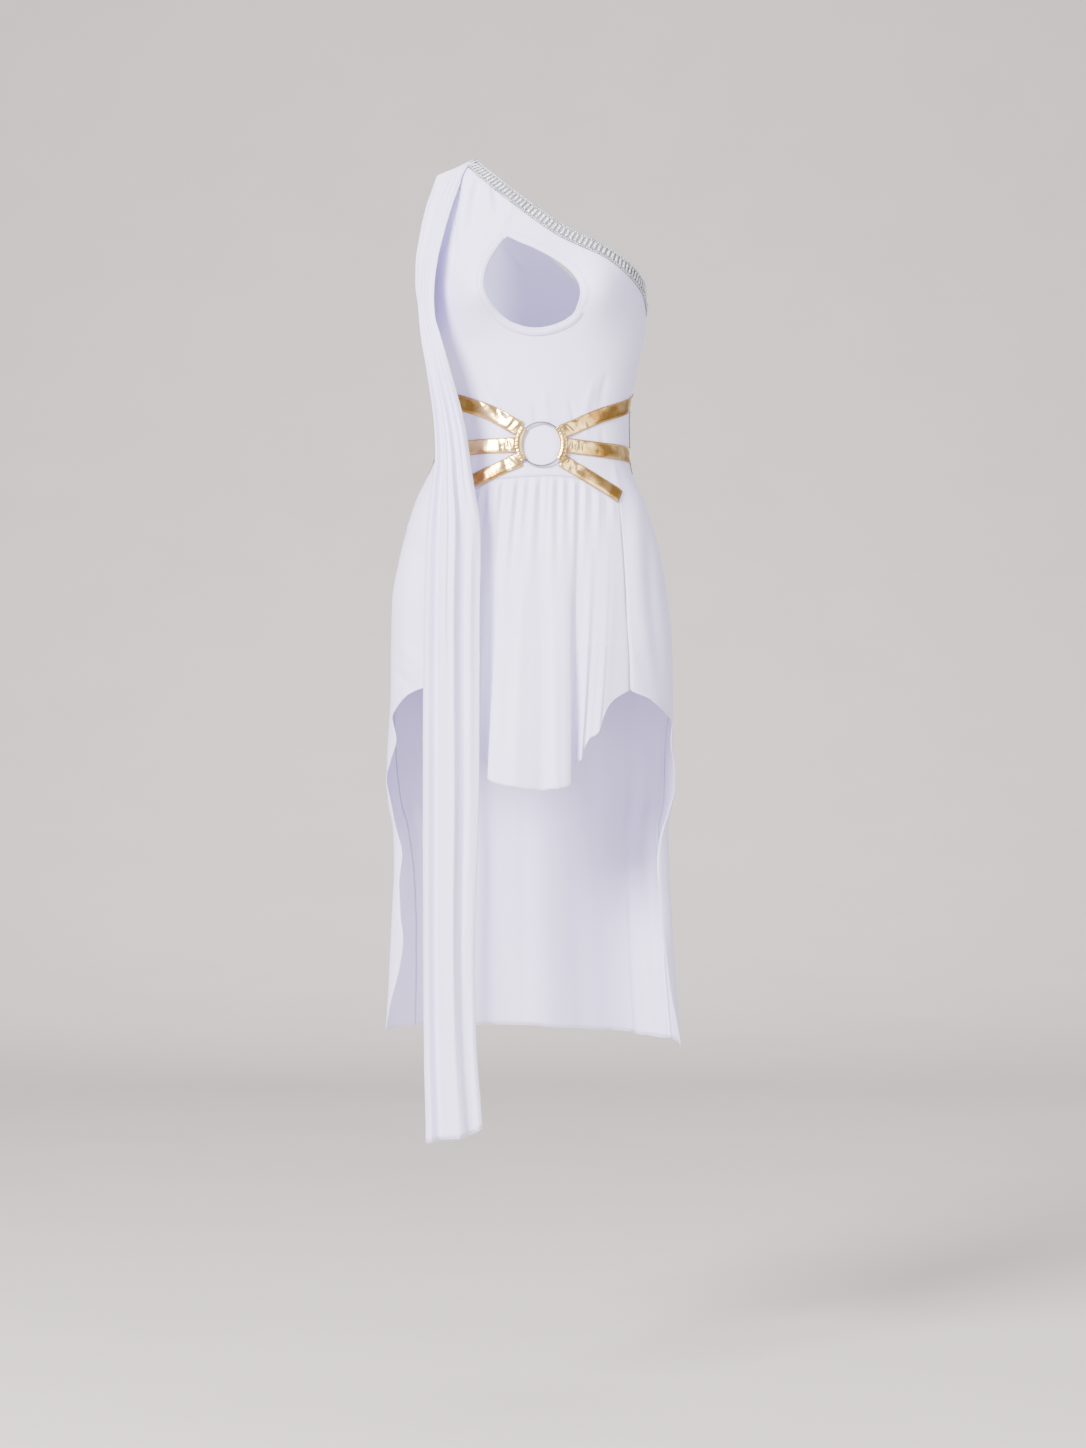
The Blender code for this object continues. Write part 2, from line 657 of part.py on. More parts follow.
def sash(tree):
    """Pleated panel from the shoulder seam to the calf, lying off the bodice."""
    grid = []
    for i in range(SASH_ROWS + 1):
        v = (i / SASH_ROWS) ** SASH_CROWDING
        line = []
        for j in range(SASH_COLUMNS + 1):
            s = j / SASH_COLUMNS
            top_z = SASH_TOP_LEFT[1] + (SASH_TOP_RIGHT[1] - SASH_TOP_LEFT[1]) * s
            z = top_z + (SASH_HEM_Z(s) - top_z) * v
            out = Vector((SASH_OUT_X(z), -SASH_OUT_Y(z), z))
            inn = Vector((SASH_IN_X(z), -SASH_IN_Y(z), z))
            facing = Vector(((inn - out).y, -(inn - out).x, 0)).normalized()
            p = out + (inn - out) * s
            if i == 0:
                top_x = SASH_TOP_LEFT[0] + (SASH_TOP_RIGHT[0] - SASH_TOP_LEFT[0]) * s
                p = Vector((top_x, -3.0, top_z))
            near, normal, _, distance = tree.find_nearest(p)
            reached = smooth((top_z - z) / SASH_CLEAR_BY)
            wanted = SASH_CLOTH + SASH_CLEAR[0] + (SASH_CLEAR[1] - SASH_CLEAR[0]) * reached
            if z > SASH_HANGS_FREE and (p - near).dot(normal) < 0 or i == 0:
                p = near + normal * wanted
            elif distance < wanted:
                p = near + (p - near).normalized() * wanted
            facing = facing.lerp(normal, 1 - reached).normalized()
            line.append(p + facing * sash_height(s, z) * smooth(v / 0.03))
        grid.append(line)
    normals = grid_normals(grid)
    inner = [[p - n * SASH_CLOTH for p, n in zip(*rows)] for rows in zip(grid, normals)]
    inner = lift_clear(inner, normals, tree)
    return [[p + n * SASH_CLOTH for p, n in zip(*rows)] for rows in zip(inner, normals)], normals


def laid(tree, p, outward, out):
    """The point above the faces met by looking in at p."""
    hit, normal, _, _ = tree.ray_cast(p + outward * 25, -outward, 60)
    if hit is None:
        hit, normal, _, _ = tree.find_nearest(p)
    return hit + outward * out


def nearest_on_body(q, angle, z):
    """Angle and height of the body's point nearest to q, from a first guess."""
    for _ in range(4):
        p = body_point(angle, z)
        da = (body_point(angle + 0.5, z) - body_point(angle - 0.5, z))
        dz = (body_point(angle, z + 0.5) - body_point(angle, z - 0.5))
        e = q - p
        aa, ab, bb = da.dot(da), da.dot(dz), dz.dot(dz)
        det = aa * bb - ab * ab
        if abs(det) < 1e-9:
            break
        angle += (e.dot(da) * bb - e.dot(dz) * ab) / det
        z += (e.dot(dz) * aa - e.dot(da) * ab) / det
        z = min(z, NECK_POINT[1] - 0.2)
    return angle, z


def band_on_body(tree, path, steps, offsets, raises):
    """Inner face and normals of a band laid on the body: path gives angle and z by share
    of its length, offsets the distances across it, raises its extra lift at each row."""
    grid, normals = [], []
    for i in range(steps + 1):
        t = i / steps
        angle, z = path(t)
        p, n = body_point(angle, z), body_normal(angle, z)
        a0, a1 = path(max(t - 0.004, 0)), path(min(t + 0.004, 1))
        along = (body_point(*a1) - body_point(*a0)).normalized()
        across = n.cross(along).normalized()
        line, facing = [], []
        for d in offsets(t):
            at, height = nearest_on_body(p + across * d, angle, z)
            facing.append(body_normal(at, height))
            line.append(laid(tree, body_point(at, height), facing[-1], LAID + raises(i)))
        grid.append(line)
        normals.append(facing)
    return grid, normals


def lift_clear(grid, normals, tree):
    """Raises a laid band until its inner face keeps clear of the faces under it."""
    rows, cols = len(grid), len(grid[0])
    for _ in range(6):
        need = {}
        for i in range(rows - 1):
            for j in range(cols - 1):
                cell = [(i, j), (i + 1, j), (i + 1, j + 1), (i, j + 1)]
                for mix in ((0, 2), (1, 3), (0, 1), (1, 2), (2, 3), (3, 0)):
                    a, b = (cell[k] for k in mix)
                    for share in (0.2, 0.5, 0.8):
                        q = grid[a[0]][a[1]].lerp(grid[b[0]][b[1]], share)
                        near, normal, _, distance = tree.find_nearest(q)
                        short = LEAST_GAP - (q - near).dot(normal)
                        if short > 0 and distance < NEARBY:
                            for c in (a, b):
                                need[c] = max(need.get(c, 0.0), short)
        for (i, j), rise in need.items():
            grid[i][j] = grid[i][j] + normals[i][j] * rise
    return grid


def laid_wall(name, laid_band, heights, kind, tree):
    """Wall on top of a laid inner face; heights gives its thickness by row and column."""
    inner, normals = laid_band
    mid = len(inner) // 2
    if grid_normals(inner)[mid][1].dot(normals[mid][1]) < 0:
        inner = [list(reversed(line)) for line in inner]
        normals = [list(reversed(line)) for line in normals]
    inner = lift_clear(inner, normals, tree)
    thick = [[heights(i, j) for j in range(len(inner[0]))] for i in range(len(inner))]
    outer = [[p + n * h for p, n, h in zip(*rows)] for rows in zip(inner, normals, thick)]
    return wall(name, outer, thick, kind, None, normals)


def edge_path(top_x, top_z, from_column, to_column, behind):
    """Path along a top edge, evenly spread by its length."""
    columns = np.linspace(from_column, to_column, 200)

    def place(c):
        z = min(top_z(c), NECK_POINT[1] - 0.3)
        angle = front_angle(top_x(c), z)
        return (180 - angle if behind else angle), z

    places = [place(c) for c in columns]
    points = [body_point(*q) for q in places]
    length = [0.0]
    for a, b in zip(points, points[1:]):
        length.append(length[-1] + (b - a).length)
    total = length[-1]
    starts, ends = (TRIM_ENDS if behind else TRIM_STARTS) / total, 1 - TRIM_ENDS / total

    def path(t):
        at = (starts + (ends - starts) * t) * total
        return (float(np.interp(at, length, [q[0] for q in places])),
                float(np.interp(at, length, [q[1] for q in places])))

    return path


def front_trim(tree):
    path = edge_path(FRONT_TOP_X, FRONT_TOP_Z, SHOULDER_FRONT[1], 32, False)
    margin = (TRIM_WIDTH - STONE_LENGTH) / 2
    across = [-TRIM_EDGE - d for d in (0, margin, TRIM_WIDTH - margin, TRIM_WIDTH)]
    return band_on_body(tree, path, 3 * FRONT_TRIM_STONES, lambda t: across, lambda i: 0)


def front_trim_height(i, j):
    return TAPE + (STONE_HEIGHT if i % 3 and j in (1, 2) else 0.0)


def back_trim(tree):
    path = edge_path(BACK_TOP_X, BACK_TOP_Z, 0, SHOULDER_BACK[0], True)
    across = [-TRIM_EDGE - TRIM_WIDTH * k / 2 for k in range(3)]
    return band_on_body(tree, path, BACK_TRIM_STEPS, lambda t: across, lambda i: 0)


def strap(tree, points, end, inner, outer):
    angles = Curve((0, 1, 2), [front_angle(*p) for p in points] + [end[0]])
    zs = Curve((0, 1, 2), [p[1] for p in points] + [end[1]])

    def path(t):
        return angles(2 * t), zs(2 * t)

    def offsets(t):
        width = inner + (outer - inner) * t
        return [width * (k / STRAP_ACROSS - 0.5) for k in range(STRAP_ACROSS + 1)]

    def lift(i):
        return STRAP_LIFT * (1 - smooth(i / STRAP_STEPS / 0.3))

    return band_on_body(tree, path, STRAP_STEPS, offsets, lift)


def side_band(tree, side):
    angle, width, top, bottom = SIDE_BAND

    def path(t):
        return side * angle % 360, top + (bottom - top) * t

    def offsets(t):
        return [width * (k / 4 - 0.5) for k in range(5)]

    return band_on_body(tree, path, SIDE_BAND_STEPS, offsets, lambda i: 0)


def keyhole_outline():
    """Closed smooth line through the opening's rows; the tip stays pointed."""
    x = [p[0] for p in KEYHOLE]
    z = [p[1] for p in KEYHOLE]
    count = len(KEYHOLE)

    def at(t):
        k = int(math.floor(t))
        f = t - k
        out = []
        for v in (x, z):
            p0, p1, p2, p3 = (v[(k + d) % count] for d in (-1, 0, 1, 2))
            if k % count == 0:
                p0 = 2 * p1 - p2
            if (k + 1) % count == 0:
                p3 = 2 * p2 - p1
            out.append(0.5 * (2 * p1 + (p2 - p0) * f + (2 * p0 - 5 * p1 + 4 * p2 - p3) * f ** 2
                              + (3 * p1 - p0 - 3 * p2 + p3) * f ** 3))
        return out

    return at


def cut_keyhole(front):
    at, count = keyhole_outline(), len(KEYHOLE)
    loop = [at(count * k / KEYHOLE_SIDES) for k in range(KEYHOLE_SIDES)]
    points = [Vector((x, y, z)) for y in KEYHOLE_DEPTH for x, z in loop]
    n = KEYHOLE_SIDES
    faces = [list(range(n)), list(range(2 * n - 1, n - 1, -1))]
    faces += [[k, k + n, (k + 1) % n + n, (k + 1) % n] for k in range(n)]
    cutter = build("keyhole_cutter", points, faces, "jersey")
    tidy = bmesh.new()
    tidy.from_mesh(cutter.data)
    bmesh.ops.recalc_face_normals(tidy, faces=tidy.faces)
    tidy.to_mesh(cutter.data)
    tidy.free()
    cutter.hide_render = True
    cutter.display_type = "WIRE"
    cut = front.modifiers.new("keyhole", "BOOLEAN")
    cut.operation = "DIFFERENCE"
    cut.solver = "EXACT"
    cut.object = cutter


def keyhole_binding(tree):
    at = keyhole_outline()
    grid, normals = [], []
    for i in range(BINDING_STEPS + 1):
        t = BINDING_FROM + (BINDING_TO - BINDING_FROM) * i / BINDING_STEPS
        (x0, z0), (x1, z1), (x2, z2) = at(t - 0.02), at(t), at(t + 0.02)
        along = Vector((x2 - x0, 0, z2 - z0)).normalized()
        away = Vector((along.z, 0, -along.x))
        if away.dot(Vector((x1 + 10, 0, z1 + 150))) < 0:
            away = -away
        line, facing = [], []
        for share in (0.0, 0.5, 1.0):
            q = Vector((x1, 0, z1)) + away * (BINDING_BACK + BINDING_WIDTH * share)
            angle = front_angle(q.x, q.z)
            facing.append(body_normal(angle, q.z))
            line.append(laid(tree, body_point(angle, q.z), facing[-1], LAID))
        grid.append(line)
        normals.append(facing)
    return grid, normals


def ring_frame():
    """Centre of the ring and its two directions across and up the cloth."""
    x, z = RING_CENTRE
    y = body_point(front_angle(x, z), z).y - RING_STANDS_OFF
    tilt = math.radians(RING_TILT)
    return Vector((x, y, z)), Vector((1, 0, 0)), Vector((0, math.sin(tilt), math.cos(tilt)))


def ring_point(turn, radius, lift):
    centre, across, up = ring_frame()
    a = math.radians(turn)
    return centre + (across * math.cos(a) + up * math.sin(a)) * radius + across.cross(up) * lift


def closed_sweep(name, sections, kind):
    """A closed ring of closed sections."""
    n, m = len(sections), len(sections[0])
    points = [p for s in sections for p in s]
    faces = [[i * m + j, i * m + (j + 1) % m, (i + 1) % n * m + (j + 1) % m, (i + 1) % n * m + j]
             for i in range(n) for j in range(m)]
    return build(name, points, faces, kind)


def belt_ring():
    sections = []
    for i in range(RING_STEPS):
        turn = 360 * i / RING_STEPS
        sections.append([
            ring_point(turn, RING_RADIUS + RING_WIRE * math.cos(w), RING_WIRE * math.sin(w))
            for w in (2 * math.pi * k / WIRE_SIDES for k in range(WIRE_SIDES))])
    return closed_sweep("belt_ring", sections, "silver")


def casing(name):
    """Foil sleeve with a hole for the ring's wire, open at both ends."""
    outer, hole = [], []
    for i in range(CASING_STEPS):
        t = 2 * i / (CASING_STEPS - 1) - 1
        turn = CASING_MIDDLE[name] + CASING_HALF_SPAN * t
        centre = CASING_RADIUS + CASING_SPREAD * t * t
        outer.append([])
        hole.append([])
        for k in range(CASING_SIDES):
            w = 2 * math.pi * k / CASING_SIDES
            outer[-1].append(ring_point(turn, centre + CASING_HALF_WIDTH * math.cos(w),
                                        CASING_HALF_THICK * math.sin(w)))
            hole[-1].append(ring_point(turn, RING_RADIUS + CASING_HOLE * math.cos(w),
                                       CASING_HOLE * math.sin(w)))
    n, m = CASING_STEPS, CASING_SIDES
    points = [p for s in outer + hole for p in s]
    faces = []
    for i in range(n - 1):
        for j in range(m):
            a, b = i * m + j, i * m + (j + 1) % m
            faces.append([a, b, b + m, a + m])
            a, b = a + n * m, b + n * m
            faces.append([b, a, a + m, b + m])
    for j in range(m):
        a, b = j, (j + 1) % m
        faces.append([b, a, a + n * m, b + n * m])
        a, b = a + (n - 1) * m, b + (n - 1) * m
        faces.append([a, b, b + n * m, a + n * m])
    return build(name, points, faces, "foil")


def face_outward(obj):
    tidy = bmesh.new()
    tidy.from_mesh(obj.data)
    bmesh.ops.recalc_face_normals(tidy, faces=tidy.faces)
    tidy.to_mesh(obj.data)
    tidy.free()


def main():
    for old in list(bpy.data.objects):
        bpy.data.objects.remove(old, do_unlink=True)
    front, front_normals, front_live = front_body()
    back, back_normals, back_live = back_body()
    panel, panel_normals = skirt_front(front, front_normals)
    front_wall = wall("front_body", front, JERSEY, "jersey", front_live, front_normals)
    wall("back_body", back, JERSEY, "jersey", back_live, back_normals)
    wall("skirt_front", panel, JERSEY, "jersey", None, panel_normals)
    cut_keyhole(front_wall)
    bodice = tree_of([(front, front_live), (back, back_live)])
    whole = tree_of([(front, front_live), (back, back_live), (panel, lambda i, j: True)])
    pleated, pleated_normals = sash(whole)
    wall("sash", pleated, SASH_CLOTH, "jersey", None, pleated_normals)
    laid_wall("keyhole_binding", keyhole_binding(bodice), lambda i, j: TAPE, "jersey", bodice)
    laid_wall("neck_trim_front", front_trim(bodice), front_trim_height, "stones", bodice)
    laid_wall("neck_trim_back", back_trim(bodice), lambda i, j: TAPE, "stones", bodice)
    for name, sizes in STRAPS.items():
        laid_wall(name, strap(whole, *sizes), lambda i, j: FOIL, "foil", whole)
    for name, side in (("belt_side_right", 1), ("belt_side_left", -1)):
        laid_wall(name, side_band(bodice, side), lambda i, j: FOIL, "foil", bodice)
    belt_ring()
    for name in CASING_MIDDLE:
        casing(name)
    for obj in bpy.context.scene.objects:
        if obj.name != "keyhole_cutter":
            face_outward(obj)


main()
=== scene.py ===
"""Dressed look of the one-shoulder stage dress: cloth, stone trim, foil belt, light and camera.

Sizes are in millimetres in the same table frame as the part's source: x to the viewer's
right, y to the back, z up from the shoulder seam. HELD_AT moves all of it.
"""
import math

import bmesh
import bpy
import numpy as np
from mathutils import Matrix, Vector
from mathutils.bvhtree import BVHTree


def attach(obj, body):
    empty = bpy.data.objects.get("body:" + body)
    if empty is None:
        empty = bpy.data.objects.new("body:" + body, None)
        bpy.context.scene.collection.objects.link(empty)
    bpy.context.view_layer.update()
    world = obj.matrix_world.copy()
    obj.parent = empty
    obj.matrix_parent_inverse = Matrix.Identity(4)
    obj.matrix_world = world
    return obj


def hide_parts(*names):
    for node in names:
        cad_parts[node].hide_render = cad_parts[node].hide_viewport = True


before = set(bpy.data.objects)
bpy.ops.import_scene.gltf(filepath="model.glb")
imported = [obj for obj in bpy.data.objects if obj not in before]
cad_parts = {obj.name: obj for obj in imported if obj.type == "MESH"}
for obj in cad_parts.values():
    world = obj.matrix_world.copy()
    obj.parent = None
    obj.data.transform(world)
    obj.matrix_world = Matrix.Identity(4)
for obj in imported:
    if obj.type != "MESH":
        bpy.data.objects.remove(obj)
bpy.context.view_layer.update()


MM = 0.001
HELD_AT = Vector((-104.0, 0.0, -7.0))
SASH_CLOTH = 0.9
TAPE = 1.0
SEAM = 0.36
LAID = 0.6
LEAST_GAP = 0.3
NEARBY = 6.0
ROUNDNESS = 2.3

# Body of the dress: height, left side, right side, side depth, front depth, back depth
BODY = (
    (6, -144, 136, 0, 0, 0),
    (0, -144, 136, 0, 17, 18),
    (-10, -144, 136, 0, 31, 33),
    (-28, -144, 136, 0, 50, 54),
    (-45, -144, 136, 0, 62, 68),
    (-62, -143, 135, 0, 72, 78),
    (-100, -139, 131, 0, 84, 90),
    (-145, -131, 123, 0, 90, 98),
    (-190, -130, 122, 0, 86, 96),
    (-227, -123, 115, 0, 81, 90),
    (-260, -116, 108, 0, 77, 82),
    (-300, -110.5, 102.5, 0, 75, 74),
    (-350, -126, 104, 0, 79, 75),
    (-393, -146.5, 121, 0, 86, 87),
    (-427, -157, 132.4, 0, 90, 98),
    (-458, -165, 140, 0, 93, 108),
    (-508, -174, 148, 0, 95, 118),
    (-560, -175.3, 153.3, 0, 95, 120),
    (-625, -176, 154.5, 0, 95, 119),
    (-655, -178, 154.5, -4, 80, 119),
    (-709, -181, 156, -12, 50, 120),
    (-742, -180, 155.5, -15, 37, 121),
    (-776, -174, 149.5, -15, 33, 122),
    (-818, -172.6, 150.3, -15, 30, 124),
    (-872, -175, 153.4, -15, 30, 127),
    (-940, -178.2, 157.3, -15, 30, 131),
    (-1031, -183, 165.5, -15, 34, 135),
)
# Bust: side distance from the centre, height, spread across, above and below, depth
BUST = (72, -158, 36, 46, 36, 26)
# Cloth spanned between the cups: spread across, depth
BRIDGE = (30, 9)
# The front's relief fades where it turns to the side, and ends at this height
FRONT_TURNS, RELIEF_ENDS = 0.35, -300
SHOULDER_TIP = (-112, -9.2)
NECK_POINT = (-79, 6)
SIDE_WAIST = -405
HEM_LEFT, HEM_BACK, HEM_RIGHT = -1012, -1018, -1027

# Soft folds that fan from the shoulder: angle from straight down, width, depth
SHOULDER_FOLDS = ((12, 9, 2.6), (33, 9, 2.8), (54, 10, 2.2))
FAN_CENTRE, FAN_REACH = (-96, 8), (48, 130)

# Folds of the tail: angle round the body, width in degrees, depth at hip, depth at hem
TAIL_FOLDS = (
    (116, 8, 0, 7), (133, 8, 0, -8), (150, 9, 1, 9), (168, 9, 0, -9), (186, 10, 1, 10),
    (203, 9, 0, -8), (220, 9, 1, 9), (236, 8, 0, -7),
)
TAIL_FROM, TAIL_TO = -450, -1000

# Front top edge by column: armhole, shoulder seam, neckline
FRONT_TOP = (
    (0, -131, -150), (2, -125.5, -133), (4, -118, -105), (6, -114, -71),
    (7.5, -112.6, -39), (9, -112, -9.2), (12, -79, 6), (13.4, -61, -10), (14.9, -41, -28),
    (16.4, -21, -45), (18, 1, -62), (19.8, 25, -79), (21.4, 50, -92), (22.8, 71, -103),
    (24.4, 91, -115), (26, 106, -125), (28, 115, -134), (30, 121, -144), (32, 123, -158),
)
# Back top edge by column, from the right side seam: neckline, shoulder seam, armhole
BACK_TOP = (
    (0, 123, -158), (1, 110, -166), (2.2, 88, -158), (3.8, 58, -136), (5.5, 28, -110),
    (7.2, -2, -83), (8.9, -32, -55), (10.3, -57, -28), (11.2, -70, -8), (12, -79, 6),
    (14, -112, -9.2), (15, -112.8, -42), (16.2, -114.5, -80), (17.4, -119.5, -113),
    (18.7, -127, -138), (20, -131, -150),
)
SHOULDER_FRONT, SHOULDER_BACK = (9, 12), (12, 14)
GORE_COLUMNS, MIDDLE_COLUMNS, BACK_COLUMNS = 6, 20, 20
ROW_CROWDING = 1.4

# Arched waist seam
WAIST_SEAM = (
    (-103, -399), (-85, -388), (-72, -381), (-55, -373), (-31, -370.5), (14, -368.5),
    (42, -371), (67, -384.6), (90.8, -399),
)
# Front edge of the side gores: share of the side seam, right x and z, left x and z.
# The first seven rows are the seam with the front panel, the rest is the free edge.
GORE_EDGE = (
    (0.0, 90.8, -399, -103, -399),
    (0.06, 93.3, -436, -110, -436),
    (0.12, 95.8, -475, -116.5, -475),
    (0.185, 98, -515, -120.5, -515),
    (0.25, 100.3, -556, -124, -553),
    (0.305, 101.8, -588, -126.5, -584),
    (0.345, 102.8, -612.4, -128, -606),
    (0.37, 123.6, -623, -150, -617),
    (0.395, 143.3, -639.6, -166, -634),
    (0.42, 152, -654, -171.8, -648),
    (0.46, 151.8, -676, -168.5, -672),
    (0.50, 154.5, -700, -174, -694),
    (0.545, 155.3, -727, -180, -718),
    (0.585, 148, -752, -173, -748),
    (0.625, 139, -784, -167.4, -780),
    (0.675, 135.5, -817, -162, -806),
    (0.73, 138.3, -852, -165.8, -842),
    (0.79, 140, -891, -164.3, -874),
    (0.845, 143.6, -925, -160, -903),
    (0.90, 148.5, -961, -164, -935),
    (0.95, 155.7, -997, -174, -975),
    (1.0, 164, -1031, -182.2, -1014),
)
CORNER_ROW = 6
# Side seam: height, angle round the body on the right, on the left
SEAM_ANGLE = (
    (-1031, 116, 124), (-900, 116, 122), (-700, 112, 110), (-620, 100, 100),
    (-405, 90, 90), (0, 90, 90),
)

# Front skirt panel: how far its straight part hangs in front
PANEL_HANG = 96
# Folds at the panel's hem: share of the width, x, how far out, height of the hem
PANEL_HEM = (
    (0.00, -127.6, 0, -607),
    (0.07, -112, 3, -634),
    (0.14, -95, 6, -661),
    (0.20, -78, 8, -682),
    (0.245, -65, 5, -692),
    (0.28, -55, -3, -699),
    (0.31, -55, 6, -707),
    (0.345, -61, 17, -714),
    (0.40, -50, 24, -720),
    (0.48, -28, 27, -724),
    (0.55, 0, 20, -727.5),
    (0.61, 14, 25, -726.5),
    (0.665, 27, 24, -724),
    (0.705, 35, 16, -719),
    (0.735, 34, 4, -709),
    (0.765, 31, -4, -699),
    (0.80, 38, -1, -696),
    (0.835, 46, 6, -693),
    (0.865, 49, 3, -682),
    (0.895, 56, 5, -669),
    (0.925, 66, 7, -662),
    (0.945, 70, 4, -648),
    (0.97, 80, 2, -628),
    (1.00, 102.4, 0, -613),
)
PANEL_EASE = 1.25
# The panel follows the hip down to here, then hangs straight
PANEL_HANGS_FROM = -560

# Sash: height, outer x and depth, inner x and depth
SASH = (
    (0, -117, 4, -80, 4),
    (-32, -127, 22, -95, 46),
    (-58, -134, 30, -103, 66),
    (-90, -139, 32, -111.5, 80),
    (-118, -142, 32, -118, 88),
    (-146, -141.5, 28, -122, 90),
    (-165, -138, 28, -123, 92),
    (-187, -136, 34, -122, 96),
    (-208, -134, 48, -116, 101),
    (-240, -129, 72, -107, 107),
    (-271, -125.5, 88, -98, 111),
    (-298, -122.5, 96, -91, 114),
    (-323, -121, 101, -85.5, 116),
    (-350, -120.5, 105, -82, 118),
    (-372, -123.5, 108, -79, 120),
    (-404, -127.5, 112, -73, 121),
    (-434, -130.5, 114, -69.5, 122),
    (-536, -133.5, 116, -70.7, 123),
    (-715, -134.5, 116, -71, 122),
    (-910, -134, 117, -76, 122),
    (-1000, -133.5, 117, -74.5, 122),
    (-1120, -131, 117, -66, 121),
)
SASH_CROWDING = 1.35
SASH_TOP_LEFT, SASH_TOP_RIGHT = (-116, -10.5), (-77, 4.5)
# Hem of the sash: share of the width, height
SASH_HEM = ((0, -1128), (0.3, -1124.5), (0.65, -1121.5), (0.85, -1117), (1, -1111.5))
# Crests and valleys of the sash: share of the width at the shoulder, at the hem, then
# how far out at the shoulder, bust, waist, hip and hem
SASH_FOLDS = (
    (0.00, 0.00, 0.3, 0, 0, -3, -2),
    (0.08, 0.10, 2.2, 6, 6, 3, 4),
    (0.20, 0.24, 0.3, 1, 0, -3, -4),
    (0.30, 0.38, 2.2, 7, 8, 6, 3),
    (0.41, 0.50, 0.3, 1, 3, 5, 6),
    (0.51, 0.60, 2.2, 7, 8, 7, 8),
    (0.61, 0.68, 0.3, 1, 0, -3, 5),
    (0.71, 0.77, 2.2, 7, 4, -6, -3),
    (0.81, 0.85, 0.3, 1, -1, -2, -5),
    (0.91, 0.93, 2.2, 6, 4, -6, -3),
    (1.00, 1.00, 0.3, 0, -2, -8, -6),
)
SASH_LEVELS = (0, -150, -320, -500, -1120)
SASH_CLEAR = (0.4, 4.6)
SASH_CLEAR_BY = 60
SASH_HANGS_FREE = -330

# Teardrop opening: x, z, anticlockwise from the tip
KEYHOLE = (
    (-38.8, -93.4), (-49.6, -107.9), (-59.4, -125.4), (-64.4, -142.5), (-64, -158.2),
    (-54, -175.6), (-38.8, -189.8), (-21.2, -197.3), (-3.8, -199.3), (13.7, -196.2),
    (29, -189.8), (38.8, -181.1), (44.3, -167), (44.3, -154), (38.8, -141.8),
    (29, -130.9), (13.7, -119.7), (-8, -107.9), (-25.6, -100.3),
)
KEYHOLE_DEPTH = (-170, -40)
BINDING_WIDTH, BINDING_FROM, BINDING_TO = 8.0, 0.25, 11.2
BINDING_BACK = 0.6

# Stone trim along the neckline
TRIM_WIDTH = 15.0
TRIM_EDGE = 1.2

# Belt straps: inner end and middle as x and z, outer end as angle round the body and z,
# then the width at each end
STRAPS = {
    "strap_left_top": (((-26.2, -313.2), (-64, -292.5)), (-88.3, -268), 17.0, 17.5),
    "strap_left_middle": (((-31.4, -333), (-61.6, -334)), (-89.4, -340), 16.5, 17.5),
    "strap_left_bottom": (((-26.2, -350.6), (-59.5, -366)), (-40, -384), 16.0, 16.5),
    "strap_right_top": (((28.4, -315.3), (66, -298.5)), (88.3, -278), 15.0, 17.5),
    "strap_right_middle": (((32, -333.6), (63.8, -336.7)), (89.4, -341), 16.5, 17.5),
    "strap_right_bottom": (((25.9, -352.2), (55.8, -369.5)), (48.8, -391), 15.0, 16.5),
}
STRAP_LIFT = 1.6
# Upright side bands: angle round the body, width, top, bottom
SIDE_BAND = (94.7, 17.0, -266, -361)

# Ring and the foil casings folded round it
RING_CENTRE, RING_RADIUS, RING_WIRE = (0.3, -332.0), 25.2, 1.25
RING_STANDS_OFF, RING_TILT = 3.75, 5.0
CASING_HALF_SPAN = 44
CASING_RADIUS, CASING_SPREAD, CASING_HALF_WIDTH, CASING_HALF_THICK = 26.0, 1.2, 4.3, 2.7
CASING_HOLE = 1.6
CASING_MIDDLE = {"casing_left": 179.0, "casing_right": 2.0}


# Finer steps than the solids: cells for each table column and row
FINE_COLUMNS, FINE_BACK_COLUMNS, FINE_ROWS, FINE_BODICE_ROWS = 4, 6, 6, 110
PANEL_FINE_COLUMNS, PANEL_FINE_ROWS = 180, 16
SASH_FINE_ROWS, SASH_FINE_COLUMNS = 260, 96
CLOTH, SASH_SHELL = 0.8, 0.7

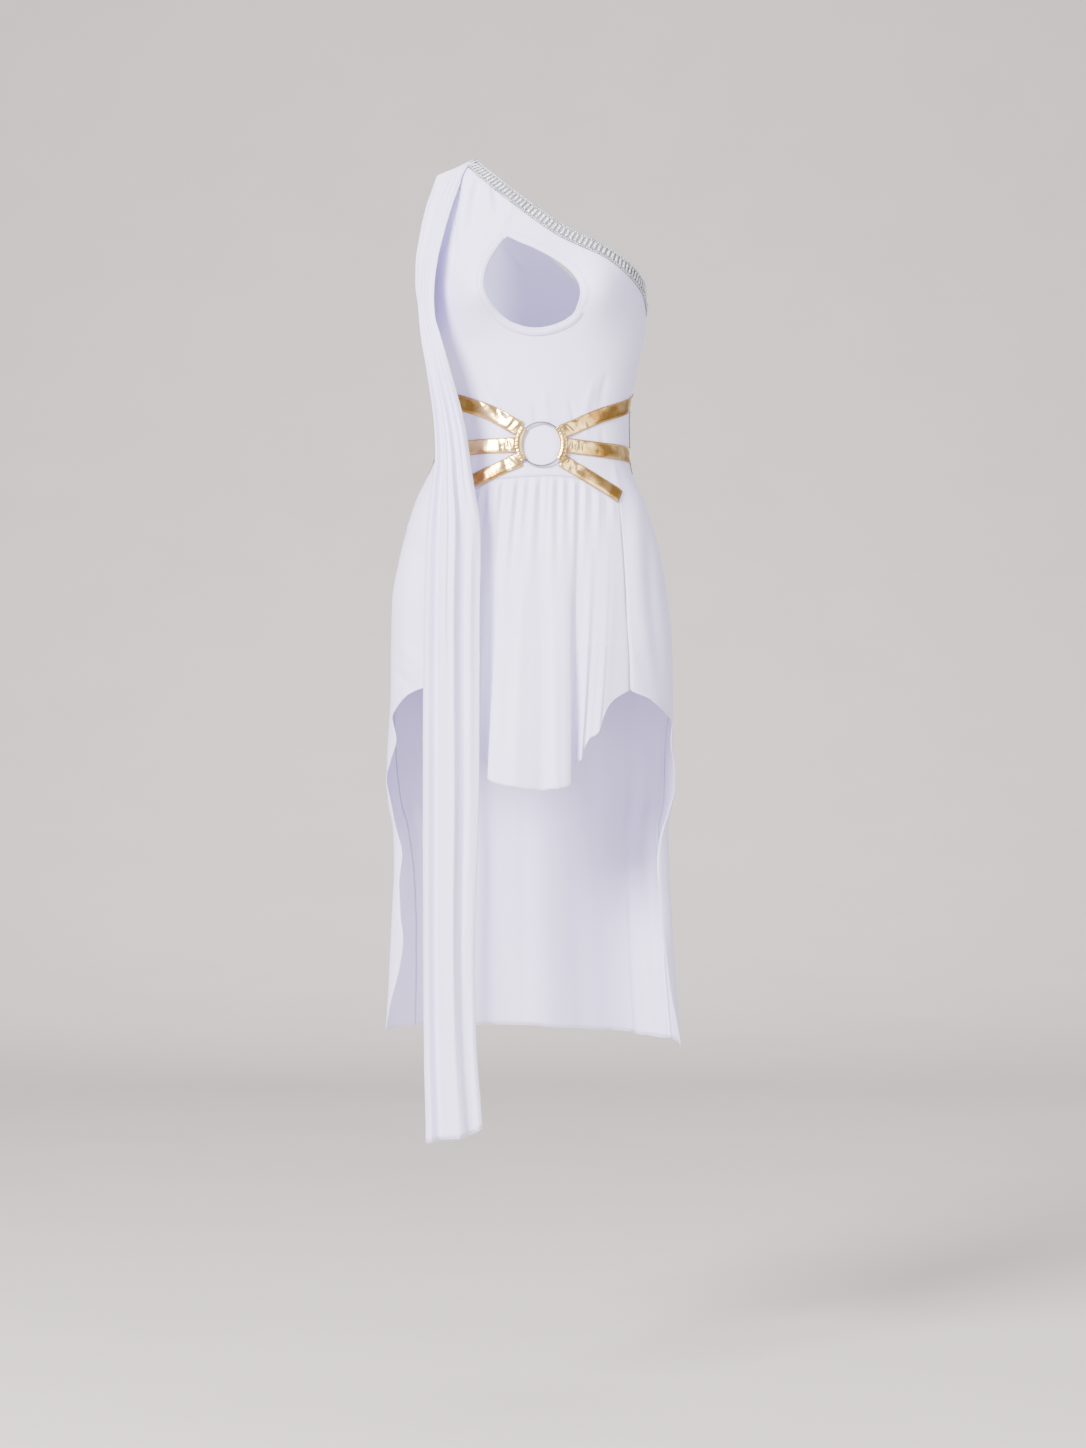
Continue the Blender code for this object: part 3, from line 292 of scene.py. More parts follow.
# Soft troughs and ridges of the front: start x, z, end x, z, sideways bow, width, depth
FRONT_CREASES = (
    (-84, -12, -103, -128, 4, 4.2, 3.0), (-90, -24, -101, -120, 2, 2.6, -3.6),
    (-77, -16, -93, -112, 3, 5.0, 2.4), (-72, -20, -80, -84, 2, 3.4, -2.2),
    (-62, -28, -60, -70, -1, 3.6, 1.7), (-55, -34, -49, -66, 0, 2.8, -1.3),
    (-40, -44, -33, -68, 0, 3.0, 0.8), (-106, -96, -112, -168, 2, 4.6, 1.8),
    (-64, -262, -42, -303, 2, 3.8, -1.7), (-52, -252, -31, -302, 3, 4.6, 1.3),
    (-74, -270, -60, -300, 1, 3.4, 1.0), (-9, -284, -3, -314, 0, 2.8, -1.3),
    (4, -272, 9, -311, 1, 4.0, 1.0), (33, -280, 40, -312, 0, 2.8, -1.2),
    (60, -262, 50, -304, 2, 4.4, 1.1), (76, -250, 68, -292, 1, 4.0, -1.0),
    (-44, -330, -38, -362, 1, 3.0, -0.9), (-56, -306, -60, -330, 0, 3.0, 0.7),
    (-80, -300, -84, -322, 0, 3.4, -0.8), (-72, -344, -78, -372, 1, 3.2, -0.9),
    (-16, -340, -20, -368, 0, 2.4, 0.6), (12, -356, 14, -368, 0, 2.6, -0.5),
    (48, -302, 54, -324, 0, 3.2, 0.7), (70, -312, 74, -336, 1, 3.0, -0.7),
    (40, -346, 44, -366, 0, 3.0, -0.7), (84, -352, 90, -384, 1, 3.6, 0.8),
    (98, -384, 104, -560, 6, 7.0, -0.9), (112, -392, 128, -610, 8, 10.0, 1.4),
    (126, -420, 146, -640, 6, 7.5, -1.1), (104, -560, 118, -622, 3, 6.0, 0.9),
    (-150, -396, -118, -414, -3, 4.2, -1.5), (-160, -420, -122, -440, -4, 5.4, 1.4),
    (-162, -448, -126, -470, -3, 4.6, -1.3), (-166, -560, -128, -606, -5, 6.0, 1.3),
    (-170, -590, -138, -628, -3, 5.0, -1.2), (-152, -470, -148, -640, 6, 8.0, 1.2),
    (-138, -450, -132, -600, 3, 5.0, -1.0),
)
# The same on the back
BACK_CREASES = (
    (-96, -22, -88, -132, 3, 4.6, 1.8), (-86, -18, -66, -120, 4, 3.4, -1.6),
    (-78, -14, -40, -104, 5, 5.0, 1.2), (-60, -52, -14, -112, 3, 3.6, -0.8),
    (-104, -60, -100, -150, 2, 4.0, -1.2), (-70, -250, -20, -292, -6, 5.0, 1.1),
    (64, -248, 18, -296, -6, 5.4, 1.2), (-84, -286, -24, -316, -8, 4.4, -1.2),
    (80, -280, 22, -322, -8, 4.6, -1.1), (-92, -318, -34, -346, -6, 4.8, 1.2),
    (88, -312, 30, -350, -6, 5.0, 1.1), (-98, -352, -46, -372, -5, 4.2, -0.9),
    (94, -346, 44, -378, -5, 4.4, -0.9), (-30, -366, -44, -620, 8, 9.0, 1.8),
    (-8, -380, -12, -700, 6, 7.0, -1.6), (22, -372, 26, -640, -6, 9.0, 1.7),
    (48, -392, 62, -660, 8, 7.0, -1.5), (76, -400, 96, -640, 6, 8.0, 1.3),
    (-66, -396, -84, -640, 7, 7.0, -1.4), (-96, -410, -120, -620, 6, 8.0, 1.3),
    (108, -430, 126, -600, 5, 6.0, -1.0), (-124, -430, -142, -600, 5, 6.0, -1.0),
)
# Finer folds of the tail: angle, width in degrees, from, to, depth
TAIL_PLEATS = (
    (109, 3.4, -560, -1010, 2.0), (122, 4.0, -620, -1020, -2.6), (128, 3.0, -540, -960, 1.8),
    (141, 3.6, -600, -1020, 2.4), (158, 4.0, -500, -1010, -2.4), (163, 3.0, -700, -1020, 2.2),
    (176, 4.4, -560, -1015, -2.0), (181, 3.0, -640, -990, 2.4), (194, 3.6, -520, -1010, 2.2),
    (211, 4.2, -580, -1020, -2.6), (216, 3.2, -680, -1015, 2.0), (228, 3.6, -560, -1005, -2.2),
    (243, 3.2, -600, -1010, 2.2),
)
# Gathers under the waist seam: place across, width, depth, where it dies away
PANEL_GATHERS = (
    (-96, 3.0, 0.9, 0.30), (-89, 2.6, -0.9, 0.42), (-80, 3.4, 1.9, 0.55), (-74.5, 2.4, -1.3, 0.36),
    (-69, 3.2, 2.2, 0.72), (-61.5, 2.6, -1.5, 0.62), (-55.5, 2.8, 1.7, 0.38),
    (-49, 3.6, 2.3, 0.66), (-42.5, 2.4, -1.2, 0.44), (-37.5, 2.8, 1.6, 0.34),
    (-31, 3.4, 2.4, 0.76), (-24.5, 2.6, -1.3, 0.58), (-19, 3.0, 1.9, 0.42), (-12.5, 2.4, -1.0, 0.36),
    (-6.5, 3.6, 2.4, 0.70), (0.5, 2.4, -1.3, 0.52), (6, 2.8, 1.6, 0.36), (13, 3.8, 2.2, 0.64),
    (20, 2.6, -1.4, 0.56), (25.5, 2.8, 2.0, 0.46), (32, 2.4, -1.2, 0.34), (38, 3.6, 2.2, 0.68),
    (45, 2.6, -1.2, 0.50), (51, 3.2, 1.5, 0.60), (58.5, 2.8, -1.0, 0.42), (66, 3.4, 1.3, 0.52),
    (75, 3.0, -0.8, 0.34), (83, 3.2, 0.8, 0.30),
)
# Sharper crests of the sash: share across at shoulder and hem, width, depth, reaches to
SASH_PLEATS = (
    (0.12, 0.13, 0.022, 1.0, -420), (0.17, 0.20, 0.016, -0.8, -360), (0.26, 0.30, 0.020, 1.0, -520),
    (0.34, 0.36, 0.016, -0.8, -330), (0.38, 0.44, 0.022, 1.1, -640), (0.46, 0.53, 0.018, -0.9, -480),
    (0.555, 0.62, 0.020, 1.1, -560), (0.65, 0.70, 0.016, -0.9, -380), (0.76, 0.80, 0.020, 1.0, -460),
    (0.86, 0.88, 0.016, -0.8, -320), (0.95, 0.95, 0.018, 0.8, -400),
)
# Soft folds of the panel below its gathers: share across, width, depth, where it begins
PANEL_FOLDS = (
    (0.06, 0.020, 1.0, 0.15), (0.11, 0.018, -1.0, 0.20), (0.175, 0.020, 1.3, 0.30),
    (0.235, 0.014, 1.1, 0.25), (0.43, 0.030, -1.4, 0.35), (0.47, 0.018, 0.9, 0.10),
    (0.53, 0.020, 1.1, 0.30), (0.59, 0.016, -1.0, 0.20), (0.625, 0.020, 1.2, 0.35),
    (0.70, 0.012, 1.0, 0.35), (0.83, 0.012, 0.9, 0.30), (0.905, 0.012, -0.8, 0.35),
    (0.955, 0.014, 0.8, 0.15),
)

# Stone trim: pitch, width and length of a long stone, radius of a round stone, radius and
# height of its setting, then the rim and height of a long stone's setting
STONE_PITCH = 5.8
LONG_STONE = (2.9, 9.0)
ROUND_STONE, ROUND_SETTING = 1.05, (1.35, 0.7)
SETTING_RIM, SETTING_HEIGHT = 0.35, 0.75
# Cut of a long stone from below: shares of its width and length, corner, height over its cup
LONG_CUT = ((1, 1, 0.6, 0.0), (1, 1, 0.6, 0.35), (0.74, 0.86, 0.5, 0.8), (0.42, 0.74, 0.3, 1.05))
# Cut of a round stone: share of its radius, height. Prong: radius, height
ROUND_CUT = ((1, 0.0), (1, 0.25), (0.55, 0.6))
PRONG = ((0.42, 0.0), (0.4, 0.6), (0.16, 0.85))
TAPE_THICK, STONE_TILT, SASH_CLEAR_OF_STONES = 0.45, 0.045, 2.6
# Stitches: pitch, length and radius
BINDING_STITCH, FACING_STITCH, YOKE_STITCH = (2.6, 1.9, 0.26), (2.6, 1.9, 0.3), (2.6, 1.9, 0.24)
STRAP_STITCH, CASING_STITCH = (3.0, 2.1, 0.2), (2.8, 2.0, 0.24)
# Shares of the binding's width where its two rows of stitches lie
BINDING_ROWS = (0.16, 0.84)
# Yoke seam: its top, and how far its stitches lie on each side
YOKE_TOP, YOKE_STITCHES = (-35.5, -66.0), 3.2
FACING_ROWS = (6.2, 8.6)
# Foil strap: thickness at its edge, crown, dip along the stitches, least thickness
STRAP_THICK = (0.75, 0.4, 0.22, 0.45)
# Threads at the hems: radius, and count and length for sash, panel and tail
THREAD = 0.11
THREADS = ((90, 4.0), (60, 1.8), (70, 1.4))
HEM_ROLL, PANEL_ROLL, SASH_ROLL, SASH_SIDE_ROLL = 0.62, 0.66, 0.5, 0.42
# Wrinkles of the straps near the ring: strap, along, across, lean, width, depth
STRAP_WRINKLES = {
    "strap_left_top": ((0.06, -0.4, 0.7, 0.014, 0.6), (0.11, 0.3, -0.5, 0.018, -0.5),
                       (0.17, 0.1, 0.4, 0.016, 0.5), (0.62, 0.2, -0.3, 0.030, 0.3)),
    "strap_left_middle": ((0.05, 0.2, 0.5, 0.014, 0.6), (0.12, -0.3, -0.6, 0.016, -0.6),
                          (0.20, 0.4, 0.7, 0.018, 0.6), (0.30, -0.2, -0.4, 0.02, -0.4)),
    "strap_left_bottom": ((0.07, 0.1, -0.5, 0.016, 0.6), (0.16, -0.2, 0.6, 0.018, -0.4),
                          (0.55, 0.1, -0.3, 0.03, 0.3)),
    "strap_right_top": ((0.06, 0.3, -0.7, 0.014, 0.7), (0.12, -0.1, -0.5, 0.016, -0.6),
                        (0.20, 0.2, -0.6, 0.02, 0.6), (0.33, -0.3, -0.3, 0.03, -0.4)),
    "strap_right_middle": ((0.05, -0.3, 0.6, 0.013, 0.8), (0.10, 0.2, -0.7, 0.015, -0.7),
                           (0.16, -0.2, 0.6, 0.015, 0.7), (0.23, 0.3, -0.5, 0.018, -0.6),
                           (0.31, 0.0, 0.4, 0.02, 0.4), (0.55, 0.3, 0.3, 0.03, -0.3)),
    "strap_right_bottom": ((0.06, 0.2, 0.6, 0.015, 0.7), (0.14, -0.2, -0.4, 0.018, -0.5),
                           (0.24, 0.1, 0.5, 0.022, 0.5), (0.38, -0.2, -0.3, 0.03, -0.4)),
}
# Height of the studio floor
FLOOR = -1440
# Table columns over which a gore's free edge curls
CURL_COLUMNS = 1.8
OPENING_SIDES = 152
# Steps along and across each laid piece
BINDING_STEPS, STRAP_STEPS, BAND_STEPS = (180, 24), (70, 12), (60, 12)
RING_STEPS, CASING_STEPS = (144, 16), (60, 20)
FACING_STEPS, YOKE_STEPS, TRIM_STEP, TRIM_LINES = 120, 30, 2, 7
# Ridges of cloth: radius beside the opening, over the yoke seam, along the binding
FACING_RIDGE, YOKE_RIDGE, BINDING_RIDGE = 0.85, 1.0, 0.8
# Turned edge of the opening: distance from its edge, height, radius
TURNED_EDGE = (0.7, -0.2, 1.25)
# Raw edge of the foil straps, and the ripple of the side bands
RAW_EDGE, BAND_RIPPLE = 0.52, 0.25
# Seam allowances: thickness, and how far they stand off the cloth
ALLOWANCE, ALLOWANCE_OFF = 0.4, 0.35
# Share of a strap's length that is tucked under the casing of the ring
STRAP_TUCK = 0.035
# Beyond this share of a distance, a point lies over a face and not beside its edge
BESIDE = 0.7
# How strongly the crease tables show on the front, the back and the tail
FRONT_STRENGTH, BACK_STRENGTH, TAIL_STRENGTH = 1.5, 2.2, 1.8
PLEAT_DEPTH, GATHER_RISE, GATHER_LENGTH = 1.9, 1.5, 0.62
# Knit: wales round the body, and the height of one course
WALES_ROUND, KNIT = 760, 0.9


class Curve:
    """A smooth line through rows of values that never overshoots them."""

    def __init__(self, at, value):
        order = np.argsort(at)
        self.at = np.array(at, float)[order]
        self.value = np.array(value, float)[order]
        rise = np.diff(self.value) / np.diff(self.at)
        slope = np.zeros(len(self.at))
        slope[0], slope[-1] = rise[0], rise[-1]
        for k in range(1, len(rise)):
            a, b = rise[k - 1], rise[k]
            slope[k] = 0.0 if a * b <= 0 else 2 * a * b / (a + b)
        self.slope = slope

    def __call__(self, x):
        at, value, slope = self.at, self.value, self.slope
        x = np.clip(np.asarray(x, float), at[0], at[-1])
        k = np.clip(np.searchsorted(at, x) - 1, 0, len(at) - 2)
        step = at[k + 1] - at[k]
        t = (x - at[k]) / step
        a = (1 + 2 * t) * (1 - t) ** 2 * value[k] + t * (1 - t) ** 2 * step * slope[k]
        b = t * t * (3 - 2 * t) * value[k + 1] + t * t * (t - 1) * step * slope[k + 1]
        return a + b


def curves(rows, key=0):
    at = [r[key] for r in rows]
    return [Curve(at, [r[c] for r in rows]) for c in range(len(rows[0]))]


def smooth(t):
    t = np.clip(t, 0.0, 1.0)
    return t * t * (3 - 2 * t)


def bell(x, width):
    return np.exp(-((x / width) ** 2))


def signed_power(x, power):
    return np.copysign(np.abs(x) ** power, x)


_, LEFT, RIGHT, SIDE, FRONT_SQ, BACK_SQ = curves(
    [(z, a, b, s, f * f, k * k) for z, a, b, s, f, k in BODY]
)
SEAM_RIGHT, SEAM_LEFT = curves(SEAM_ANGLE)[1:]
WAIST_Z = curves(WAIST_SEAM)[1]
FRONT_TOP_X, FRONT_TOP_Z = curves(FRONT_TOP)[1:]
BACK_TOP_X, BACK_TOP_Z = curves(BACK_TOP)[1:]
GORE = curves(GORE_EDGE)[1:]
PANEL_X, PANEL_OUT, PANEL_Z = curves(PANEL_HEM)[1:]
SASH_OUT_X, SASH_OUT_Y, SASH_IN_X, SASH_IN_Y = curves(SASH)[1:]
SASH_HEM_Z = curves(SASH_HEM)[1]


def shoulder_drop(x, z):
    """How much lower the shoulder's ridge is at x than at the neck point."""
    slope = (NECK_POINT[1] - SHOULDER_TIP[1]) / (NECK_POINT[0] - SHOULDER_TIP[0])
    return slope * np.maximum(NECK_POINT[0] - x, 0.0) * smooth((z + 110) / 80)


def front_relief(x, z):
    """Bust and shoulder folds: how far the front stands out from the plain section."""
    side, height, across, above, below, depth = BUST
    up = bell(z - height, np.where(z > height, above, below))
    out = depth * up * (bell(x + 4 - side, across) + bell(x + 4 + side, across))
    out = out + BRIDGE[1] * up * bell(x + 4, BRIDGE[0])
    dx, dz = x - FAN_CENTRE[0], FAN_CENTRE[1] - z
    reach = np.hypot(dx, dz)
    fade = (1 - bell(reach, FAN_REACH[0])) * bell(reach, FAN_REACH[1])
    angle = np.degrees(np.arctan2(dx, dz))
    return out + fade * sum(d * bell(angle - a, w) for a, w, d in SHOULDER_FOLDS)


def tail_fold(angle, z):
    share = smooth((z - TAIL_FROM) / (TAIL_TO - TAIL_FROM))
    start = smooth((TAIL_FROM - z) / 90)
    return start * sum((a + (b - a) * share) * bell(angle - at, w)
                       for at, w, a, b in TAIL_FOLDS)


def body_point(angle, z, hang=None):
    """The dress's outer surface; angle is 0 in front, 90 at the right, 180 behind."""
    angle, z = np.broadcast_arrays(np.asarray(angle, float), np.asarray(z, float))
    left, right = LEFT(z), RIGHT(z)
    s, c = np.sin(np.radians(angle)), np.cos(np.radians(angle))
    x = (left + right) / 2 + (right - left) / 2 * signed_power(s, 2 / ROUNDNESS)
    level = z + shoulder_drop(x, z)
    bulge = np.abs(c) ** (2 / ROUNDNESS)
    depth = np.sqrt(np.maximum(FRONT_SQ(level), 0.0))
    if hang is not None:
        depth = np.where(np.isnan(hang), depth, hang)
    relief = np.where(z > RELIEF_ENDS, front_relief(x, z) * smooth(c / FRONT_TURNS), 0.0)
    relief = relief * smooth(0.3 - level / 20)
    front_y = -SIDE(z) - (depth - SIDE(z)) * bulge - relief
    depth = np.sqrt(np.maximum(BACK_SQ(level), 0.0))
    out = np.where(z < TAIL_FROM, tail_fold(angle % 360, z), 0.0)
    back_y = -SIDE(z) + (depth + SIDE(z)) * bulge - out * c
    ahead = c > 0
    return np.stack([np.where(ahead, x, x + out * s), np.where(ahead, front_y, back_y),
                     z.astype(float)], axis=-1)


def front_angle(x, z):
    """Angle round the body at which the front reaches x."""
    left, right = LEFT(z), RIGHT(z)
    s = np.clip((x - (left + right) / 2) / ((right - left) / 2), -1.0, 1.0)
    return np.degrees(np.arcsin(signed_power(s, ROUNDNESS / 2)))


def unit(v):
    return v / np.maximum(np.linalg.norm(v, axis=-1, keepdims=True), 1e-9)


def body_normal(angle, z):
    across = body_point(angle + 1, z) - body_point(angle - 1, z)
    down = body_point(angle, z - 1) - body_point(angle, z + 1)
    n = unit(np.cross(down, across))
    p = body_point(angle, z)
    ridge = p[..., 2] + shoulder_drop(p[..., 0], p[..., 2]) > NECK_POINT[1] - 1.5
    tip, neck = SHOULDER_TIP, NECK_POINT
    up = unit(np.array([tip[1] - neck[1], 0, neck[0] - tip[0]], float))
    return np.where(ridge[..., None], up, n)


def surface_normals(grid):
    down = np.empty_like(grid)
    down[1:-1] = grid[2:] - grid[:-2]
    down[0], down[-1] = grid[1] - grid[0], grid[-1] - grid[-2]
    across = np.empty_like(grid)
    across[:, 1:-1] = grid[:, 2:] - grid[:, :-2]
    across[:, 0], across[:, -1] = grid[:, 1] - grid[:, 0], grid[:, -1] - grid[:, -2]
    return unit(np.cross(down, across))


def creases(x, z, rows):
    """Soft troughs and ridges along bowed lines, each with its own width and depth."""
    out = np.zeros(np.shape(x))
    for x0, z0, x1, z1, bow, width, depth in rows:
        length = math.hypot(x1 - x0, z1 - z0)
        ux, uz = (x1 - x0) / length, (z1 - z0) / length
        t = ((x - x0) * ux + (z - z0) * uz) / length
        off = (x - x0) * uz - (z - z0) * ux - bow * 4 * t * (1 - t)
        ends = smooth((t + 0.1) / 0.35) * smooth((1.15 - t) / 0.5)
        spread = width * (0.75 + 0.5 * np.clip(t, 0, 1))
        out += depth * ends * bell(off, spread)
    return out


def refine(values, count):
    """Values with count steps between each two."""
    at = np.arange(0, len(values) - 1 + 0.5 / count, 1 / count)
    return np.interp(at, range(len(values)), values)


def top_edge(j, x_curve, z_curve, shoulder, from_neck):
    first, last = shoulder
    t = np.clip((j - first) / (last - first), 0, 1)
    t = t if from_neck else 1 - t
    on = (j >= first) & (j <= last)
    ends = zip((x_curve, z_curve), NECK_POINT, SHOULDER_TIP)
    return [np.where(on, a + (b - a) * t, curve(j)) for curve, a, b in ends]


def seam_shift(angle, z):
    speed = np.linalg.norm(body_point(angle + 1, z) - body_point(angle - 1, z), axis=-1) / 2
    return SEAM / 2 / speed


def front_cloth():
    """Bodice front with the long gores, as a grid, its normals and its live cells."""
    columns = 2 * GORE_COLUMNS + MIDDLE_COLUMNS
    right_from = GORE_COLUMNS + MIDDLE_COLUMNS
    j = np.linspace(0, columns, columns * FINE_COLUMNS + 1)[None, :]
    share = refine([row[0] for row in GORE_EDGE], FINE_ROWS)[:, None]
    rx, rz, lx, lz = (c(share) for c in GORE)
    angles, heights = [], []
    for hem, seam, x, z, part, side in (
            (HEM_LEFT, SEAM_LEFT, lx, lz, j / GORE_COLUMNS, -1),
            (HEM_RIGHT, SEAM_RIGHT, rx, rz, (columns - j) / GORE_COLUMNS, 1)):
        seam_z = SIDE_WAIST + (hem - SIDE_WAIST) * share
        at_seam = side * seam(seam_z)
        angles.append(at_seam + (front_angle(x, z) - at_seam) * part)
        heights.append(seam_z + (z - seam_z) * part)
    t = (j - GORE_COLUMNS) / MIDDLE_COLUMNS
    mid_x = WAIST_SEAM[0][0] + (WAIST_SEAM[-1][0] - WAIST_SEAM[0][0]) * t
    mid_z = WAIST_Z(mid_x) + SEAM / 2
    left, right = j <= GORE_COLUMNS, j >= right_from
    angle = np.where(left, angles[0], np.where(right, angles[1], front_angle(mid_x, mid_z)))
    z = np.where(left, heights[0], np.where(right, heights[1], mid_z))
    top_x, top_z = top_edge(j, FRONT_TOP_X, FRONT_TOP_Z, SHOULDER_FRONT, False)
    top_angle = front_angle(top_x, top_z)
    down = (np.arange(FINE_BODICE_ROWS)[:, None] / FINE_BODICE_ROWS) ** ROW_CROWDING
    angle = np.vstack([top_angle + (angle[:1] - top_angle) * down, angle])
    z = np.vstack([top_z + (z[:1] - top_z) * down, z])
    for c in (0, -1):
        angle[:, c] -= np.copysign(seam_shift(angle[:, c], z[:, c]), angle[:, c])
    grid = body_point(angle, z)
    on = (j[0] >= SHOULDER_FRONT[0]) & (j[0] <= SHOULDER_FRONT[1])
    grid[0, on, 1] = -SEAM / 2
    rows = np.arange(len(grid))
    seam_rows = (rows > FINE_BODICE_ROWS) & (rows <= FINE_BODICE_ROWS + CORNER_ROW * FINE_ROWS)
    for c, side in ((GORE_COLUMNS, -1), (right_from, 1)):
        grid[seam_rows, c * FINE_COLUMNS, 0] += side * SEAM / 2
    normals = surface_normals(grid)
    # Normals beside the open front come from the body, since the middle columns stop there
    for c in (GORE_COLUMNS, right_from):
        k = c * FINE_COLUMNS
        normals[FINE_BODICE_ROWS:, k] = body_normal(angle[FINE_BODICE_ROWS:, k],
                                                    z[FINE_BODICE_ROWS:, k])
    normals[FINE_BODICE_ROWS] = body_normal(angle[FINE_BODICE_ROWS], z[FINE_BODICE_ROWS])
    normals[0] = normals[1]
    fade = smooth(j / 1.2) * smooth((columns - j) / 1.2)
    fade = fade * np.where(rows[:, None] < 4, rows[:, None] / 4, 1)
    height = FRONT_STRENGTH * creases(grid[..., 0], grid[..., 2], FRONT_CREASES) * fade
    height += curl(j, rows)
    grid = grid + normals * height[..., None]
    live = np.ones((len(grid) - 1, grid.shape[1] - 1), bool)
    live[FINE_BODICE_ROWS:, GORE_COLUMNS * FINE_COLUMNS:right_from * FINE_COLUMNS] = False
    return grid, normals, live


def curl(j, rows):
    """Outward curl of the gores' free edges, uneven along their length."""
    free = FINE_BODICE_ROWS + CORNER_ROW * FINE_ROWS
    right = GORE_COLUMNS + MIDDLE_COLUMNS
    down = (rows[:, None] - free) / (len(rows) - free)
    near = np.maximum(smooth((j - GORE_COLUMNS + CURL_COLUMNS) / CURL_COLUMNS) * (j <= GORE_COLUMNS),
                      smooth((right + CURL_COLUMNS - j) / CURL_COLUMNS) * (j >= right))
    wave = 1.6 + 0.9 * np.sin(down * 17) + 0.6 * np.sin(down * 41 + 1)
    return near ** 2 * wave * smooth(down / 0.12)


def back_cloth():
    j = np.linspace(0, BACK_COLUMNS, BACK_COLUMNS * FINE_BACK_COLUMNS + 1)[None, :]
    t = j / BACK_COLUMNS
    top_x, top_z = top_edge(j, BACK_TOP_X, BACK_TOP_Z, SHOULDER_BACK, True)
    top_angle = 180 - front_angle(top_x, top_z)
    hem = HEM_RIGHT + (HEM_LEFT - HEM_RIGHT) * t
    hem = hem + (HEM_BACK - (HEM_LEFT + HEM_RIGHT) / 2) * np.sin(math.pi * t)
    share = refine([row[0] for row in GORE_EDGE], FINE_ROWS)[:, None]
    z = SIDE_WAIST + (hem - SIDE_WAIST) * share
    right_seam, left_seam = SEAM_RIGHT(z), 360 - SEAM_LEFT(z)
    angle = right_seam + (left_seam - right_seam) * t
    down = (np.arange(FINE_BODICE_ROWS)[:, None] / FINE_BODICE_ROWS) ** ROW_CROWDING
    angle = np.vstack([top_angle + (angle[:1] - top_angle) * down, angle])
    z = np.vstack([top_z + (z[:1] - top_z) * down, z])
    angle[:, 0] += seam_shift(angle[:, 0], z[:, 0])
    angle[:, -1] -= seam_shift(angle[:, -1], z[:, -1])
    grid = body_point(angle, z)
    on = (j[0] >= SHOULDER_BACK[0]) & (j[0] <= SHOULDER_BACK[1])
    grid[0, on, 1] = SEAM / 2
    normals = surface_normals(grid)
    normals[0] = normals[1]
    rows = np.arange(len(grid))[:, None]
    fade = smooth(j / 1.0) * smooth((BACK_COLUMNS - j) / 1.0)
    fade = fade * np.where(rows < 4, rows / 4, 1)
    height = BACK_STRENGTH * creases(grid[..., 0], grid[..., 2], BACK_CREASES)
    for at, width, start, end, depth in TAIL_PLEATS:
        run = (start - z) / (start - end)
        height += TAIL_STRENGTH * depth * smooth(run / 0.6) * bell(angle - at, width)
    return grid + normals * (height * fade)[..., None], normals, None


def between(values, at):
    """Values of a line of points at fractional places along it."""
    k = np.clip(np.floor(at).astype(int), 0, len(values) - 2)
    f = (at - k)[:, None]
    return values[k] * (1 - f) + values[k + 1] * f


def panel_cloth(front, front_normals):
    """Gathered skirt panel; its seams follow the front's own edges."""
    first, last = GORE_COLUMNS * FINE_COLUMNS, (GORE_COLUMNS + MIDDLE_COLUMNS) * FINE_COLUMNS
    start = FINE_BODICE_ROWS
    end = start + CORNER_ROW * FINE_ROWS
    seam_z = (front[start:end + 1, first, 2] + front[start:end + 1, last, 2]) / 2
    down = (seam_z - seam_z[0]) / (seam_z[-1] - seam_z[0])
    steps = CORNER_ROW * PANEL_FINE_ROWS
    at = np.linspace(0, end - start, steps + 1)
    v = np.interp(at, range(len(down)), down)[:, None]
    u = np.linspace(0, 1, PANEL_FINE_COLUMNS + 1)
    left, right = (between(front[start:end + 1, c], at) for c in (first, last))
    facing = [between(front_normals[start:end + 1, c], at) for c in (first, last)]
    head_at = u * (last - first)
    head = between(front[start, first:last + 1], head_at)
    head_normals = unit(between(front_normals[start, first:last + 1], head_at))
    z = head[:, 2] + (PANEL_Z(u) - head[:, 2]) * v
    plain_x = (left[:, :1] + (right[:, :1] - left[:, :1]) * u
               + (head[:, 0] - head[0, 0] - (head[-1, 0] - head[0, 0]) * u) * (1 - v))
    ease = v ** PANEL_EASE
    x = plain_x + (PANEL_X(u) - plain_x) * ease
    level = np.maximum(z, PANEL_HANGS_FROM)
    hang = np.where(z < PANEL_HANGS_FROM, PANEL_HANG, np.nan)
    y = body_point(front_angle(x, level), level, hang)[..., 1]
    out = np.zeros_like(x)
    for place, width, depth, length in PANEL_GATHERS:
        out += GATHER_RISE * depth * bell(head[:, 0] - place, width * (0.85 + 0.6 * v)) \
            * smooth(v / 0.03) * (1 - smooth(v / (GATHER_LENGTH * length))) ** 0.8
    for place, width, depth, begin in PANEL_FOLDS:
        out += depth * bell(u - place, width) * smooth((v - begin) / 0.5)
    out *= smooth(u / 0.03) * smooth((1 - u) / 0.03)
    grid = np.stack([x, y - PANEL_OUT(u) * ease - out, z], axis=-1)
    grid[0] = head
    grid[0, :, 2] -= SEAM
    grid[:, 0], grid[:, -1] = left, right
    grid[:, 0, 0] += SEAM
    grid[:, -1, 0] -= SEAM
    normals = surface_normals(grid)
    normals[:, 0], normals[:, -1] = unit(facing[0]), unit(facing[1])
    normals[0] = head_normals
    return grid, normals


def tree_of(grids):
    """The outer faces of some grids, to lay other pieces on."""
    points, faces = [], []
    for grid, live in grids:
        base, cols = len(points), grid.shape[1]
        points += grid.reshape(-1, 3).tolist()
        for i in range(grid.shape[0] - 1):
            for j in range(cols - 1):
                if live is None or live[i, j]:
                    a = base + i * cols + j
                    faces.append((a, a + cols, a + cols + 1, a + 1))
    return BVHTree.FromPolygons(points, faces)


